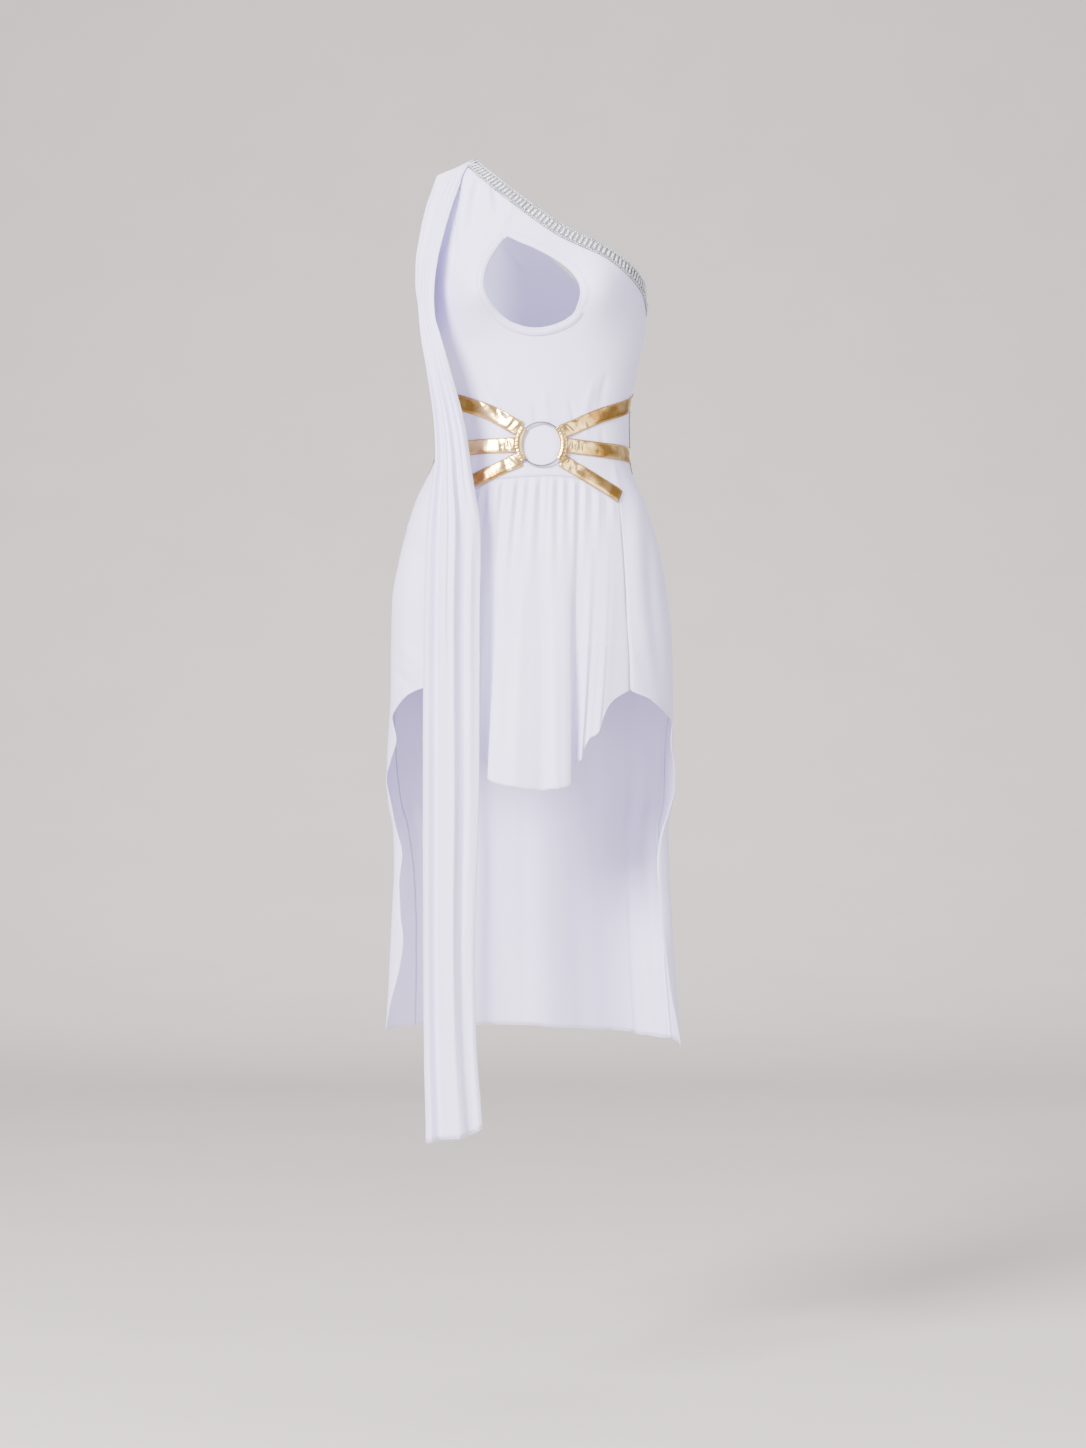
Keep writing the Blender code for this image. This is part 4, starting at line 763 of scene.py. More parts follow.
def sash_cloth(tree):
    """Pleated panel from the shoulder seam to the calf, lying off the bodice."""
    s = np.linspace(0, 1, SASH_FINE_COLUMNS + 1)
    grid = np.zeros((SASH_FINE_ROWS + 1, len(s), 3))
    heights = np.zeros(grid.shape[:2])
    facings = np.zeros_like(grid)
    levels = SASH_LEVELS
    profiles = [Curve(levels, row[2:]) for row in SASH_FOLDS]
    for i in range(SASH_FINE_ROWS + 1):
        v = (i / SASH_FINE_ROWS) ** SASH_CROWDING
        top_z = SASH_TOP_LEFT[1] + (SASH_TOP_RIGHT[1] - SASH_TOP_LEFT[1]) * s
        z = top_z + (SASH_HEM_Z(s) - top_z) * v
        out = np.stack([SASH_OUT_X(z), -SASH_OUT_Y(z), z], axis=-1)
        inn = np.stack([SASH_IN_X(z), -SASH_IN_Y(z), z], axis=-1)
        facing = unit(np.stack([(inn - out)[:, 1], -(inn - out)[:, 0], 0 * z], axis=-1))
        p = out + (inn - out) * s[:, None]
        if i == 0:
            top_x = SASH_TOP_LEFT[0] + (SASH_TOP_RIGHT[0] - SASH_TOP_LEFT[0]) * s
            p = np.stack([top_x, 0 * s - 3.0, top_z], axis=-1)
        reached = smooth((top_z - z) / SASH_CLEAR_BY)
        wanted = SASH_CLOTH + SASH_CLEAR[0] + (SASH_CLEAR[1] - SASH_CLEAR[0]) * reached
        for j in range(len(s)):
            near, normal, _, distance = tree.find_nearest(Vector(p[j]))
            near, normal = np.array(near), np.array(normal)
            away = p[j] - near
            over = abs(away @ normal) > BESIDE * distance
            if z[j] > SASH_HANGS_FREE and away @ normal < 0 and over or i == 0:
                p[j] = near + normal * wanted[j]
            elif distance < wanted[j]:
                p[j] = near + unit(away) * wanted[j]
            facing[j] = unit(facing[j] + (normal - facing[j]) * (1 - reached[j]))
        down = smooth((levels[0] - z.mean()) / (levels[0] - levels[-1]))
        at = [row[0] + (row[1] - row[0]) * down for row in SASH_FOLDS]
        height = Curve(at, [float(c(z.mean())) for c in profiles])(s)
        for top, hem, width, depth, reaches in SASH_PLEATS:
            fade = smooth((z - reaches) / 160) * smooth(v / 0.01)
            height = height + PLEAT_DEPTH * depth * fade * bell(s - top - (hem - top) * down, width)
        grid[i], facings[i] = p, facing
        heights[i] = height * smooth(v / 0.03)
    grid += facings * heights[..., None]
    for _ in range(4):
        grid[1:-1] = (grid[:-2] + 2 * grid[1:-1] + grid[2:]) / 4
    grid[3:, 1:-1] = (grid[3:, :-2] + 2 * grid[3:, 1:-1] + grid[3:, 2:]) / 4
    normals = surface_normals(grid)
    inner = raise_clear(grid - normals * SASH_SHELL, normals, tree, LEAST_GAP + 0.1)
    return inner + normals * SASH_SHELL, normals


def raise_clear(grid, normals, tree, gap):
    """Moves points out until they keep a gap from the faces under them."""
    flat, facing = grid.reshape(-1, 3).copy(), normals.reshape(-1, 3)
    for _ in range(3):
        for k in range(len(flat)):
            near, normal, _, distance = tree.find_nearest(Vector(flat[k]))
            above = (Vector(flat[k]) - near).dot(normal)
            if above < gap and distance < NEARBY and abs(above) > BESIDE * distance:
                flat[k] += facing[k] * (gap - above)
    return flat.reshape(grid.shape)


def laid(tree, points, outward, out):
    """The points above the faces met by looking in at each of them."""
    placed = np.zeros_like(points)
    for k, (p, n) in enumerate(zip(points, outward)):
        direction = Vector(n)
        hit, _, _, _ = tree.ray_cast(Vector(p) + direction * 25, -direction, 60)
        if hit is None:
            hit = tree.find_nearest(Vector(p))[0]
        placed[k] = np.array(hit) + n * out[k]
    return placed


def nearest_on_body(q, angle, z):
    """Angles and heights of the body's points nearest to q, from a first guess."""
    for _ in range(4):
        p = body_point(angle, z)
        da = body_point(angle + 0.5, z) - body_point(angle - 0.5, z)
        dz = body_point(angle, z + 0.5) - body_point(angle, z - 0.5)
        e = q - p
        aa, ab, bb = ((m * n).sum(-1) for m, n in ((da, da), (da, dz), (dz, dz)))
        det = aa * bb - ab * ab
        safe = np.abs(det) > 1e-9
        det = np.where(safe, det, 1.0)
        angle = angle + np.where(safe, ((e * da).sum(-1) * bb - (e * dz).sum(-1) * ab) / det, 0)
        z = z + np.where(safe, ((e * dz).sum(-1) * aa - (e * da).sum(-1) * ab) / det, 0)
        z = np.minimum(z, NECK_POINT[1] - 0.2)
    return angle, z


def band_on_body(tree, path, steps, offsets, lift=0.0):
    """Inner face and normals of a band laid on the body; path gives angle and z by share
    of its length, offsets the distances across it at each share."""
    t = np.linspace(0, 1, steps + 1)
    angle, z = path(t)
    p, n = body_point(angle, z), body_normal(angle, z)
    a0, a1 = path(np.maximum(t - 0.004, 0)), path(np.minimum(t + 0.004, 1))
    along = unit(body_point(*a1) - body_point(*a0))
    across = unit(np.cross(n, along))
    grid, normals = [], []
    for d in offsets(t):
        at, height = nearest_on_body(p + across * np.reshape(d, (-1, 1)), angle, z)
        facing = body_normal(at, height)
        normals.append(facing)
        grid.append(laid(tree, body_point(at, height), facing, LAID + lift * np.ones(len(t))))
    grid, normals = np.stack(grid, axis=1), np.stack(normals, axis=1)
    mid = len(grid) // 2
    if (surface_normals(grid)[mid, 1] * normals[mid, 1]).sum() < 0:
        grid, normals = grid[:, ::-1].copy(), normals[:, ::-1].copy()
    return raise_clear(grid, normals, tree, LEAST_GAP), normals


def edge_path(top_x, top_z, from_column, to_column, behind, starts_at, ends_at):
    """Path along a top edge, evenly spread by its length, and its length."""
    columns = np.linspace(from_column, to_column, 300)
    z = np.minimum(top_z(columns), NECK_POINT[1] - 0.3)
    angle = front_angle(top_x(columns), z)
    angle = 180 - angle if behind else angle
    steps = np.linalg.norm(np.diff(body_point(angle, z), axis=0), axis=1)
    length = np.concatenate([[0], np.cumsum(steps)])
    total = length[-1]

    def path(t):
        at = starts_at + (total - starts_at - ends_at) * t
        return np.interp(at, length, angle), np.interp(at, length, z)

    return path, total - starts_at - ends_at


def strap_path(points, end):
    angles = Curve((0, 1, 2), [float(front_angle(*p)) for p in points] + [end[0]])
    zs = Curve((0, 1, 2), [p[1] for p in points] + [end[1]])

    def path(t):
        at = 2 * (t * (1 + STRAP_TUCK) - STRAP_TUCK)
        before = np.minimum(at, 0.0)
        return [c(at) + (float(c(0.02)) - float(c(0.0))) / 0.02 * before for c in (angles, zs)]

    return path


def keyhole_outline(t):
    """Points of the opening's edge; t counts the table's rows from the pointed tip."""
    count = len(KEYHOLE)
    t = np.atleast_1d(np.asarray(t, float))
    k = np.floor(t).astype(int)
    f = t - k
    out = []
    for v in np.array(KEYHOLE, float).T:
        p0, p1, p2, p3 = (v[(k + d) % count] for d in (-1, 0, 1, 2))
        p0 = np.where(k % count == 0, 2 * p1 - p2, p0)
        p3 = np.where((k + 1) % count == 0, 2 * p2 - p1, p3)
        out.append(0.5 * (2 * p1 + (p2 - p0) * f + (2 * p0 - 5 * p1 + 4 * p2 - p3) * f ** 2
                          + (3 * p1 - p0 - 3 * p2 + p3) * f ** 3))
    return np.stack(out, axis=-1)


def beside_keyhole(tree, t, away_by, lift):
    """Points on the bodice at a distance outside the opening's edge, and their normals."""
    p0, p1, p2 = (keyhole_outline(t + d) for d in (-0.02, 0.0, 0.02))
    along = unit(p2 - p0)
    away = np.stack([along[:, 1], -along[:, 0]], axis=-1)
    towards = p1 - np.array([-10.0, -150.0])
    away *= np.sign((away * towards).sum(-1, keepdims=True))
    q = p1 + away * np.reshape(away_by, (-1, 1))
    angle = front_angle(q[:, 0], q[:, 1])
    facing = body_normal(angle, q[:, 1])
    return laid(tree, body_point(angle, q[:, 1]), facing, lift * np.ones(len(q))), facing


# Making the meshes

def obj_of(name, points, faces, finishes, replaces=(), smooth_faces=True, which=None):
    """A piece from points in millimetres; which gives each face its finish's number."""
    mesh = bpy.data.meshes.new(name)
    placed = (np.asarray(points, float) - np.array(HELD_AT)) * MM
    mesh.from_pydata(placed.tolist(), [], faces)
    mesh.polygons.foreach_set("use_smooth", [smooth_faces] * len(mesh.polygons))
    for finish in finishes:
        mesh.materials.append(finish)
    if which is not None:
        mesh.polygons.foreach_set("material_index", list(which))
    mesh.update()
    obj = bpy.data.objects.new(name, mesh)
    bpy.context.scene.collection.objects.link(obj)
    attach(obj, "root")
    if replaces:
        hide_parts(*replaces)
    return obj


def shell(name, grid, normals, thick, finishes, replaces=(), live=None):
    """Closed thin wall; the grid is its outer face."""
    rows, cols = grid.shape[:2]
    live = np.ones((rows - 1, cols - 1), bool) if live is None else live
    thick = np.broadcast_to(thick, (rows, cols))[..., None]
    points = np.concatenate([grid.reshape(-1, 3), (grid - normals * thick).reshape(-1, 3)])
    index = np.arange(rows * cols).reshape(rows, cols)
    a, b = index[:-1, :-1][live], index[1:, :-1][live]
    c, d = index[1:, 1:][live], index[:-1, 1:][live]
    under = rows * cols
    faces = [np.stack([a, b, c, d], 1), np.stack([d, c, b, a], 1) + under]
    padded = np.pad(live, 1)
    sides = ((padded[1:-1, :-2], index[:-1, :-1], index[1:, :-1]),
             (padded[2:, 1:-1], index[1:, :-1], index[1:, 1:]),
             (padded[1:-1, 2:], index[1:, 1:], index[:-1, 1:]),
             (padded[:-2, 1:-1], index[:-1, 1:], index[:-1, :-1]))
    for beyond, p, q in sides:
        edge = live & ~beyond
        p, q = p[edge], q[edge]
        faces.append(np.stack([q, p, p + under, q + under], 1))
    faces = np.concatenate(faces)
    used, faces = np.unique(faces, return_inverse=True)
    faces = faces.reshape(-1, 4).tolist()
    return obj_of(name, points[used], faces, finishes, replaces)


def frames_along(path, closed=False):
    """Unit directions along a line of points."""
    if closed:
        return unit(np.roll(path, -1, axis=0) - np.roll(path, 1, axis=0))
    return unit(np.gradient(path, axis=0))


def tube(path, normals, radius, sides=6, closed=False, flat=1.0):
    """Points and faces of a tube; flat squashes it towards the surface it lies on."""
    along = frames_along(path, closed)
    across = unit(np.cross(normals, along))
    up = unit(np.cross(along, across))
    radius = np.broadcast_to(radius, (len(path),))[:, None, None]
    w = np.arange(sides) * 2 * math.pi / sides
    ring = (np.cos(w)[None, :, None] * across[:, None, :]
            + flat * np.sin(w)[None, :, None] * up[:, None, :])
    points = (path[:, None, :] + ring * radius).reshape(-1, 3)
    n = len(path)
    faces = []
    for i in range(n if closed else n - 1):
        for k in range(sides):
            a, b = i * sides + k, i * sides + (k + 1) % sides
            faces.append([(a + sides) % (n * sides), (b + sides) % (n * sides), b, a])
    if not closed:
        faces.append(list(range(sides)))
        faces.append(list(range((n - 1) * sides + sides - 1, (n - 1) * sides - 1, -1)))
    return points, faces


def joined(parts):
    """Several point and face lists as one."""
    points, faces, base = [], [], 0
    for p, f in parts:
        points.append(p)
        faces += [[k + base for k in face] for face in f]
        base += len(p)
    return np.concatenate(points), faces


def copies(template, faces, centres, across, along, up):
    """Copies of one small form: its x goes across, y along and z up at each centre."""
    template = np.asarray(template, float)
    points = (centres[:, None, :] + template[None, :, :1] * across[:, None, :]
              + template[None, :, 1:2] * along[:, None, :]
              + template[None, :, 2:] * up[:, None, :])
    count = len(template)
    made = [[k + base * count for k in face] for base in range(len(centres)) for face in faces]
    return points.reshape(-1, 3), made


def stacked(rings):
    """A form from rings of equal count, closed below and above."""
    n = len(rings[0])
    points = [p for ring in rings for p in ring]
    faces = [list(range(n - 1, -1, -1))]
    for i in range(len(rings) - 1):
        faces += [[i * n + k, i * n + (k + 1) % n, (i + 1) * n + (k + 1) % n, (i + 1) * n + k]
                  for k in range(n)]
    faces.append([(len(rings) - 1) * n + k for k in range(n)])
    return points, faces


def walk(path, pitch, start=0.0):
    """Places evenly along a line of points, and the fractional index of each."""
    steps = np.linalg.norm(np.diff(path, axis=0), axis=1)
    length = np.concatenate([[0], np.cumsum(steps)])
    at = np.arange(start, length[-1], pitch)
    return np.interp(at, length, np.arange(len(path)))


def stitches(path, normals, pitch=3.0, long=2.2, radius=0.28, start=1.0):
    """A row of sewn stitches lying on a line of points."""
    at = walk(path, pitch, start)
    centre, up = between(path, at), unit(between(normals, at))
    along = unit(between(frames_along(path), at))
    across = unit(np.cross(up, along))
    ring = [(math.cos(w), math.sin(w)) for w in np.arange(5) * 2 * math.pi / 5]
    form, faces = stacked([[(a * radius * r, y * long / 2, b * radius * r) for a, b in ring]
                           for y, r in ((-1, 0.3), (-0.72, 0.9), (0.72, 0.9), (1, 0.3))])
    return copies(form, faces, centre, across, along, up)


# Finishes

def new_finish(name, colour, metallic, roughness, **extra):
    made = bpy.data.materials.new(name)
    made.use_nodes = True
    made.diffuse_color = (*colour, 1.0)
    shader = made.node_tree.nodes["Principled BSDF"]
    shader.inputs["Base Color"].default_value = (*colour, 1.0)
    shader.inputs["Metallic"].default_value = metallic
    shader.inputs["Roughness"].default_value = roughness
    for key, value in extra.items():
        shader.inputs[key.replace("_", " ").title().replace("Ior", "IOR")].default_value = value
    return made, made.node_tree, shader


def add(tree, kind, inputs=(), **settings):
    """A node with its settings; inputs pairs a socket with a value or another socket."""
    made = tree.nodes.new(kind)
    for key, value in settings.items():
        setattr(made, key, value)
    for socket, value in inputs:
        if isinstance(value, bpy.types.NodeSocket):
            tree.links.new(value, made.inputs[socket])
        else:
            made.inputs[socket].default_value = value
    return made


def maths(tree, operation, a, b=0.0):
    return add(tree, "ShaderNodeMath", ((0, a), (1, b)), operation=operation).outputs[0]


def place_of(tree):
    return add(tree, "ShaderNodeTexCoord").outputs["Object"]


def noise(tree, at, scale, detail=2.0, roughness=0.5, distortion=0.0):
    made = add(tree, "ShaderNodeTexNoise", (
        ("Vector", at), ("Scale", scale), ("Detail", detail), ("Roughness", roughness),
        ("Distortion", distortion)))
    return made.outputs["Fac"]


def ramp(tree, fac, low, high, dark, light):
    made = add(tree, "ShaderNodeValToRGB", (("Fac", fac),))
    made.color_ramp.elements[0].position, made.color_ramp.elements[1].position = low, high
    made.color_ramp.elements[0].color = (*dark, 1.0)
    made.color_ramp.elements[1].color = (*light, 1.0)
    return made.outputs["Color"]


def spread(tree, fac, low, high):
    made = add(tree, "ShaderNodeMapRange", (("Value", fac), ("To Min", low), ("To Max", high)))
    return made.outputs["Result"]


def bumped(tree, shader, height, strength, distance):
    made = add(tree, "ShaderNodeBump", (
        ("Height", height), ("Strength", strength), ("Distance", distance)))
    tree.links.new(made.outputs["Normal"], shader.inputs["Normal"])


def jersey(name, dark, light, round_body=True):
    """Fine stretch knit: wales round the body or across, courses up and down."""
    made, tree, shader = new_finish(name, light, 0.0, 0.6, sheen_weight=0.12,
                                    sheen_roughness=0.4, specular_ior_level=0.3)
    shader.inputs["Sheen Tint"].default_value = (0.86, 0.85, 1.0, 1.0)
    at = place_of(tree)
    xyz = add(tree, "ShaderNodeSeparateXYZ", (("Vector", at),))
    if round_body:
        moved = add(tree, "ShaderNodeMapping", (("Vector", at), ("Location", (-0.1, -0.015, 0))))
        turn = add(tree, "ShaderNodeTexGradient", (("Vector", moved.outputs[0]),),
                   gradient_type="RADIAL")
        wale = maths(tree, "MULTIPLY", turn.outputs["Fac"], 2 * math.pi * WALES_ROUND)
    else:
        wale = maths(tree, "MULTIPLY", xyz.outputs["X"], 2 * math.pi / (KNIT * MM))
    wale = maths(tree, "SINE", wale)
    course = maths(tree, "MULTIPLY", xyz.outputs["Z"], 2 * math.pi / (KNIT * MM))
    course = maths(tree, "SINE", maths(tree, "ADD", course, maths(tree, "MULTIPLY", wale, 1.3)))
    knit = maths(tree, "ADD", maths(tree, "MULTIPLY", wale, 0.5),
                 maths(tree, "MULTIPLY", course, 0.5))
    pull = noise(tree, at, 55.0, 3.0, 0.55)
    height = maths(tree, "ADD", maths(tree, "MULTIPLY", knit, 0.12),
                   maths(tree, "MULTIPLY", pull, 2.2))
    bumped(tree, shader, height, 0.22, 0.0006)
    cloud = noise(tree, at, 7.0, 3.0, 0.5)
    tree.links.new(ramp(tree, cloud, 0.3, 0.7, dark, light), shader.inputs["Base Color"])
    tree.links.new(spread(tree, noise(tree, at, 180.0, 2.0), 0.54, 0.68),
                   shader.inputs["Roughness"])
    return made


def foil(name, dark, light, scale=70.0):
    """Metallic foil face on cloth: fine crumple, and clouded gold whose wide range from dark to bright
    is painted reflection.
    """
    made, tree, shader = new_finish(name, light, 1.0, 0.28, coat_weight=0.15,
                                    coat_roughness=0.12)
    at = place_of(tree)
    crumple = noise(tree, at, scale, 4.0, 0.55, 0.6)
    fine = add(tree, "ShaderNodeTexVoronoi", (("Vector", at), ("Scale", scale * 9)))
    height = maths(tree, "ADD", crumple, maths(tree, "MULTIPLY", fine.outputs["Distance"], 0.05))
    bumped(tree, shader, height, 0.35, 0.0016)
    # Colour ramp over broad noise: painted dark and bright reflections of the foil
    tree.links.new(ramp(tree, noise(tree, at, 26.0, 3.0, 0.5, 0.4), 0.38, 0.6, dark, light),
                   shader.inputs["Base Color"])
    tree.links.new(spread(tree, crumple, 0.10, 0.34), shader.inputs["Roughness"])
    return made


def speckled(name, dark, light, metallic, roughness, scale, bump, distance, **extra):
    """A finish whose colour, gloss and bump vary with one noise."""
    made, tree, shader = new_finish(name, light, metallic, sum(roughness) / 2, **extra)
    at = place_of(tree)
    grain = noise(tree, at, scale, 3.0, 0.6)
    tree.links.new(ramp(tree, grain, 0.34, 0.66, dark, light), shader.inputs["Base Color"])
    tree.links.new(spread(tree, grain, *roughness), shader.inputs["Roughness"])
    bumped(tree, shader, grain, bump, distance)
    return made


# The pieces

WHITE, SHADE = (0.80, 0.755, 1.0), (0.76, 0.71, 0.98)
CLOTH_FINISH = jersey("jersey_knit", SHADE, WHITE)
SASH_FINISH = jersey("jersey_sash", SHADE, WHITE, False)
# White stitch thread coloured dark lavender grey: painted shade of the stitched grooves
THREAD_WITH_PAINTED_GROOVE_SHADE = speckled("thread_painted_groove_shade", (0.42, 0.40, 0.56), (0.62, 0.60, 0.76), 0.0, (0.5, 0.7),
                         1800.0, 0.4, 0.0003, sheen_weight=0.3)
EDGE_FINISH = speckled("cut_edge", (0.70, 0.68, 0.83), (0.84, 0.82, 0.95), 0.0, (0.6, 0.8),
                       900.0, 0.5, 0.0004, sheen_weight=0.4)
# Gold foil: its dark and light golds are painted reflections
FOIL_WITH_PAINTED_REFLECTIONS = foil("gold_foil_painted_reflections", (0.36, 0.19, 0.04), (0.97, 0.68, 0.27))
COPPER_FINISH = speckled("copper_edge", (0.28, 0.13, 0.05), (0.55, 0.32, 0.14), 0.3,
                         (0.4, 0.7), 900.0, 0.5, 0.0003)
TAN_THREAD = speckled("tan_thread", (0.45, 0.27, 0.10), (0.72, 0.50, 0.22), 0.2, (0.35, 0.6),
                      1800.0, 0.4, 0.0003)
SILVER_FINISH = speckled("silver_polish", (0.24, 0.24, 0.27), (0.72, 0.72, 0.75), 1.0,
                         (0.06, 0.16), 42.0, 0.05, 0.0002)
SETTING_FINISH = speckled("silver_setting", (0.22, 0.22, 0.26), (0.78, 0.78, 0.82), 1.0,
                          (0.18, 0.38), 500.0, 0.2, 0.0002)
TAPE_FINISH = speckled("silver_mesh", (0.20, 0.20, 0.24), (0.46, 0.46, 0.52), 0.6,
                       (0.35, 0.6), 1400.0, 0.5, 0.0003)
# Clear stones speckled from dark grey to white: painted glints and dark reflections of the facets
STONE_WITH_PAINTED_SPARKLE = speckled("clear_stone_painted_sparkle", (0.34, 0.35, 0.40), (1.0, 1.0, 1.0), 0.1,
                        (0.02, 0.06), 330.0, 0.0, 0.0001, coat_weight=1.0, coat_roughness=0.02)

front, front_normals, front_live = front_cloth()
back, back_normals, back_live = back_cloth()
panel, panel_normals = panel_cloth(front, front_normals)
bodice_tree = tree_of([(front, front_live), (back, back_live)])
whole_tree = tree_of([(front, front_live), (back, back_live), (panel, None)])
sash_grid, sash_normals = sash_cloth(whole_tree)

front_piece = shell("bodice_front", front, front_normals, CLOTH, [CLOTH_FINISH],
                    ["front_body"], front_live)
back_piece = shell("dress_back", back, back_normals, CLOTH, [CLOTH_FINISH],
                   ["back_body"], back_live)
panel_piece = shell("skirt_panel", panel, panel_normals, CLOTH, [CLOTH_FINISH],
                    ["skirt_front"])
sash_piece = shell("sash_cloth", sash_grid, sash_normals, SASH_SHELL, [SASH_FINISH],
                   ["sash"])


def cut_opening(obj):
    """Cuts the teardrop through the front with a prism of its outline."""
    count = len(KEYHOLE)
    loop = keyhole_outline(np.arange(OPENING_SIDES) * count / OPENING_SIDES)
    points = np.array([(x, y, z) for y in KEYHOLE_DEPTH for x, z in loop])
    n = OPENING_SIDES
    faces = [list(range(n)), list(range(2 * n - 1, n - 1, -1))]
    faces += [[k, k + n, (k + 1) % n + n, (k + 1) % n] for k in range(n)]
    mesh = bpy.data.meshes.new("cutter")
    mesh.from_pydata(((points - np.array(HELD_AT)) * MM).tolist(), [], faces)
    form = bmesh.new()
    form.from_mesh(mesh)
    bmesh.ops.recalc_face_normals(form, faces=form.faces)
    form.to_mesh(mesh)
    form.free()
    cutter = bpy.data.objects.new("cutter", mesh)
    bpy.context.scene.collection.objects.link(cutter)
    cut = obj.modifiers.new("opening", "BOOLEAN")
    cut.operation, cut.solver, cut.object = "DIFFERENCE", "EXACT", cutter
    bpy.context.view_layer.update()
    evaluated = obj.evaluated_get(bpy.context.evaluated_depsgraph_get())
    made = bpy.data.meshes.new_from_object(evaluated)
    obj.modifiers.clear()
    obj.data = made
    bpy.data.objects.remove(cutter, do_unlink=True)


cut_opening(front_piece)


def band_shell(name, band, thick, finish, replaces):
    inner, normals = band
    thick = np.broadcast_to(thick, inner.shape[:2])
    return shell(name, inner + normals * thick[..., None], normals, thick, [finish],
                 replaces)


# Binding and facing of the opening

def bind_opening():
    """Padded binding round the left and lower edge of the opening."""
    t = np.linspace(BINDING_FROM, BINDING_TO, BINDING_STEPS[0] + 1)
    shares = np.linspace(0, 1, BINDING_STEPS[1] + 1)
    lines = [beside_keyhole(bodice_tree, t, BINDING_BACK + BINDING_WIDTH * s + 0 * t, LAID)
             for s in shares]
    binding = np.stack([p for p, n in lines], axis=1), np.stack([n for p, n in lines], axis=1)
    middle = BINDING_STEPS[0] // 2, BINDING_STEPS[1] // 2
    if (surface_normals(binding[0])[middle] * binding[1][middle]).sum() < 0:
        binding = tuple(b[:, ::-1].copy() for b in binding)
    binding = raise_clear(*binding, bodice_tree, LEAST_GAP), binding[1]
    crown = TAPE * (0.7 + 0.9 * (1 - np.abs(2 * shares - 1) ** 3)
                    - 0.75 * bell(shares - BINDING_ROWS[0], 0.05)
                    - 0.75 * bell(shares - BINDING_ROWS[1], 0.05))
    band_shell("opening_binding", binding, crown[None, :], CLOTH_FINISH,
               ["keyhole_binding"])
    for s in BINDING_ROWS:
        path, facing = beside_keyhole(bodice_tree, t, BINDING_BACK + BINDING_WIDTH * s + 0 * t,
                                      LAID + TAPE * 0.72)
        sewing.append(stitches(path, facing, *BINDING_STITCH))
    return binding, crown


sewing = []
binding, crown = bind_opening()


def face_opening():
    """Stitched facing, yoke seam and turned edge on the other side of the opening."""
    facing_edges = []
    edge_t = np.linspace(BINDING_TO - 0.05, len(KEYHOLE) + BINDING_FROM, FACING_STEPS)
    for away in FACING_ROWS:
        fade = smooth((edge_t - edge_t[0]) / 1.2)
        path, facing = beside_keyhole(bodice_tree, edge_t, away * (0.6 + 0.4 * fade), 0.1)
        sewing.append(stitches(path, facing, *FACING_STITCH))
        facing_edges.append(tube(path, facing, FACING_RIDGE, 8, flat=0.5))
    seam_top = np.array(YOKE_TOP)
    seam_low = np.array(KEYHOLE[0], float)
    s = np.linspace(0, 1, YOKE_STEPS)[:, None]
    seam = seam_low + (seam_top - seam_low) * s + np.array([-1.5, 0.0]) * np.sin(math.pi * s)
    for shift in (-YOKE_STITCHES, YOKE_STITCHES):
        angle = front_angle(seam[:, 0] + shift, seam[:, 1])
        facing = body_normal(angle, seam[:, 1])
        path = laid(bodice_tree, body_point(angle, seam[:, 1]), facing, 0.1 + 0 * s[:, 0])
        sewing.append(stitches(path, facing, *YOKE_STITCH))
    angle = front_angle(seam[:, 0], seam[:, 1])
    facing = body_normal(angle, seam[:, 1])
    path = laid(bodice_tree, body_point(angle, seam[:, 1]), facing, 0.0 + 0 * s[:, 0])
    facing_edges.append(tube(path, facing, YOKE_RIDGE, 8, flat=0.6))
    path = binding[0][-1] + binding[1][-1] * crown[:, None] * 0.6
    facing_edges.append(tube(path, binding[1][-1], BINDING_RIDGE, 8))
    points, faces = joined(facing_edges)
    obj_of("yoke_and_facing_ridges", points, faces, [CLOTH_FINISH])
    path, facing = beside_keyhole(bodice_tree, edge_t, TURNED_EDGE[0] + 0 * edge_t, TURNED_EDGE[1])
    points, faces = tube(path, facing, TURNED_EDGE[2], 10, flat=0.75)
    obj_of("opening_turned_edge", points, faces, [CLOTH_FINISH])


face_opening()


# Stone trims

def octagon(width, length, corner, height):
    w, l = width / 2, length / 2
    return [(w, -l + corner, height), (w, l - corner, height), (w - corner, l, height),
            (-w + corner, l, height), (-w, l - corner, height), (-w, -l + corner, height),
            (-w + corner, -l, height), (w - corner, -l, height)]


def circle(radius, height, sides=8):
    return [(radius * math.cos(a), radius * math.sin(a), height)
            for a in np.arange(sides) * 2 * math.pi / sides]


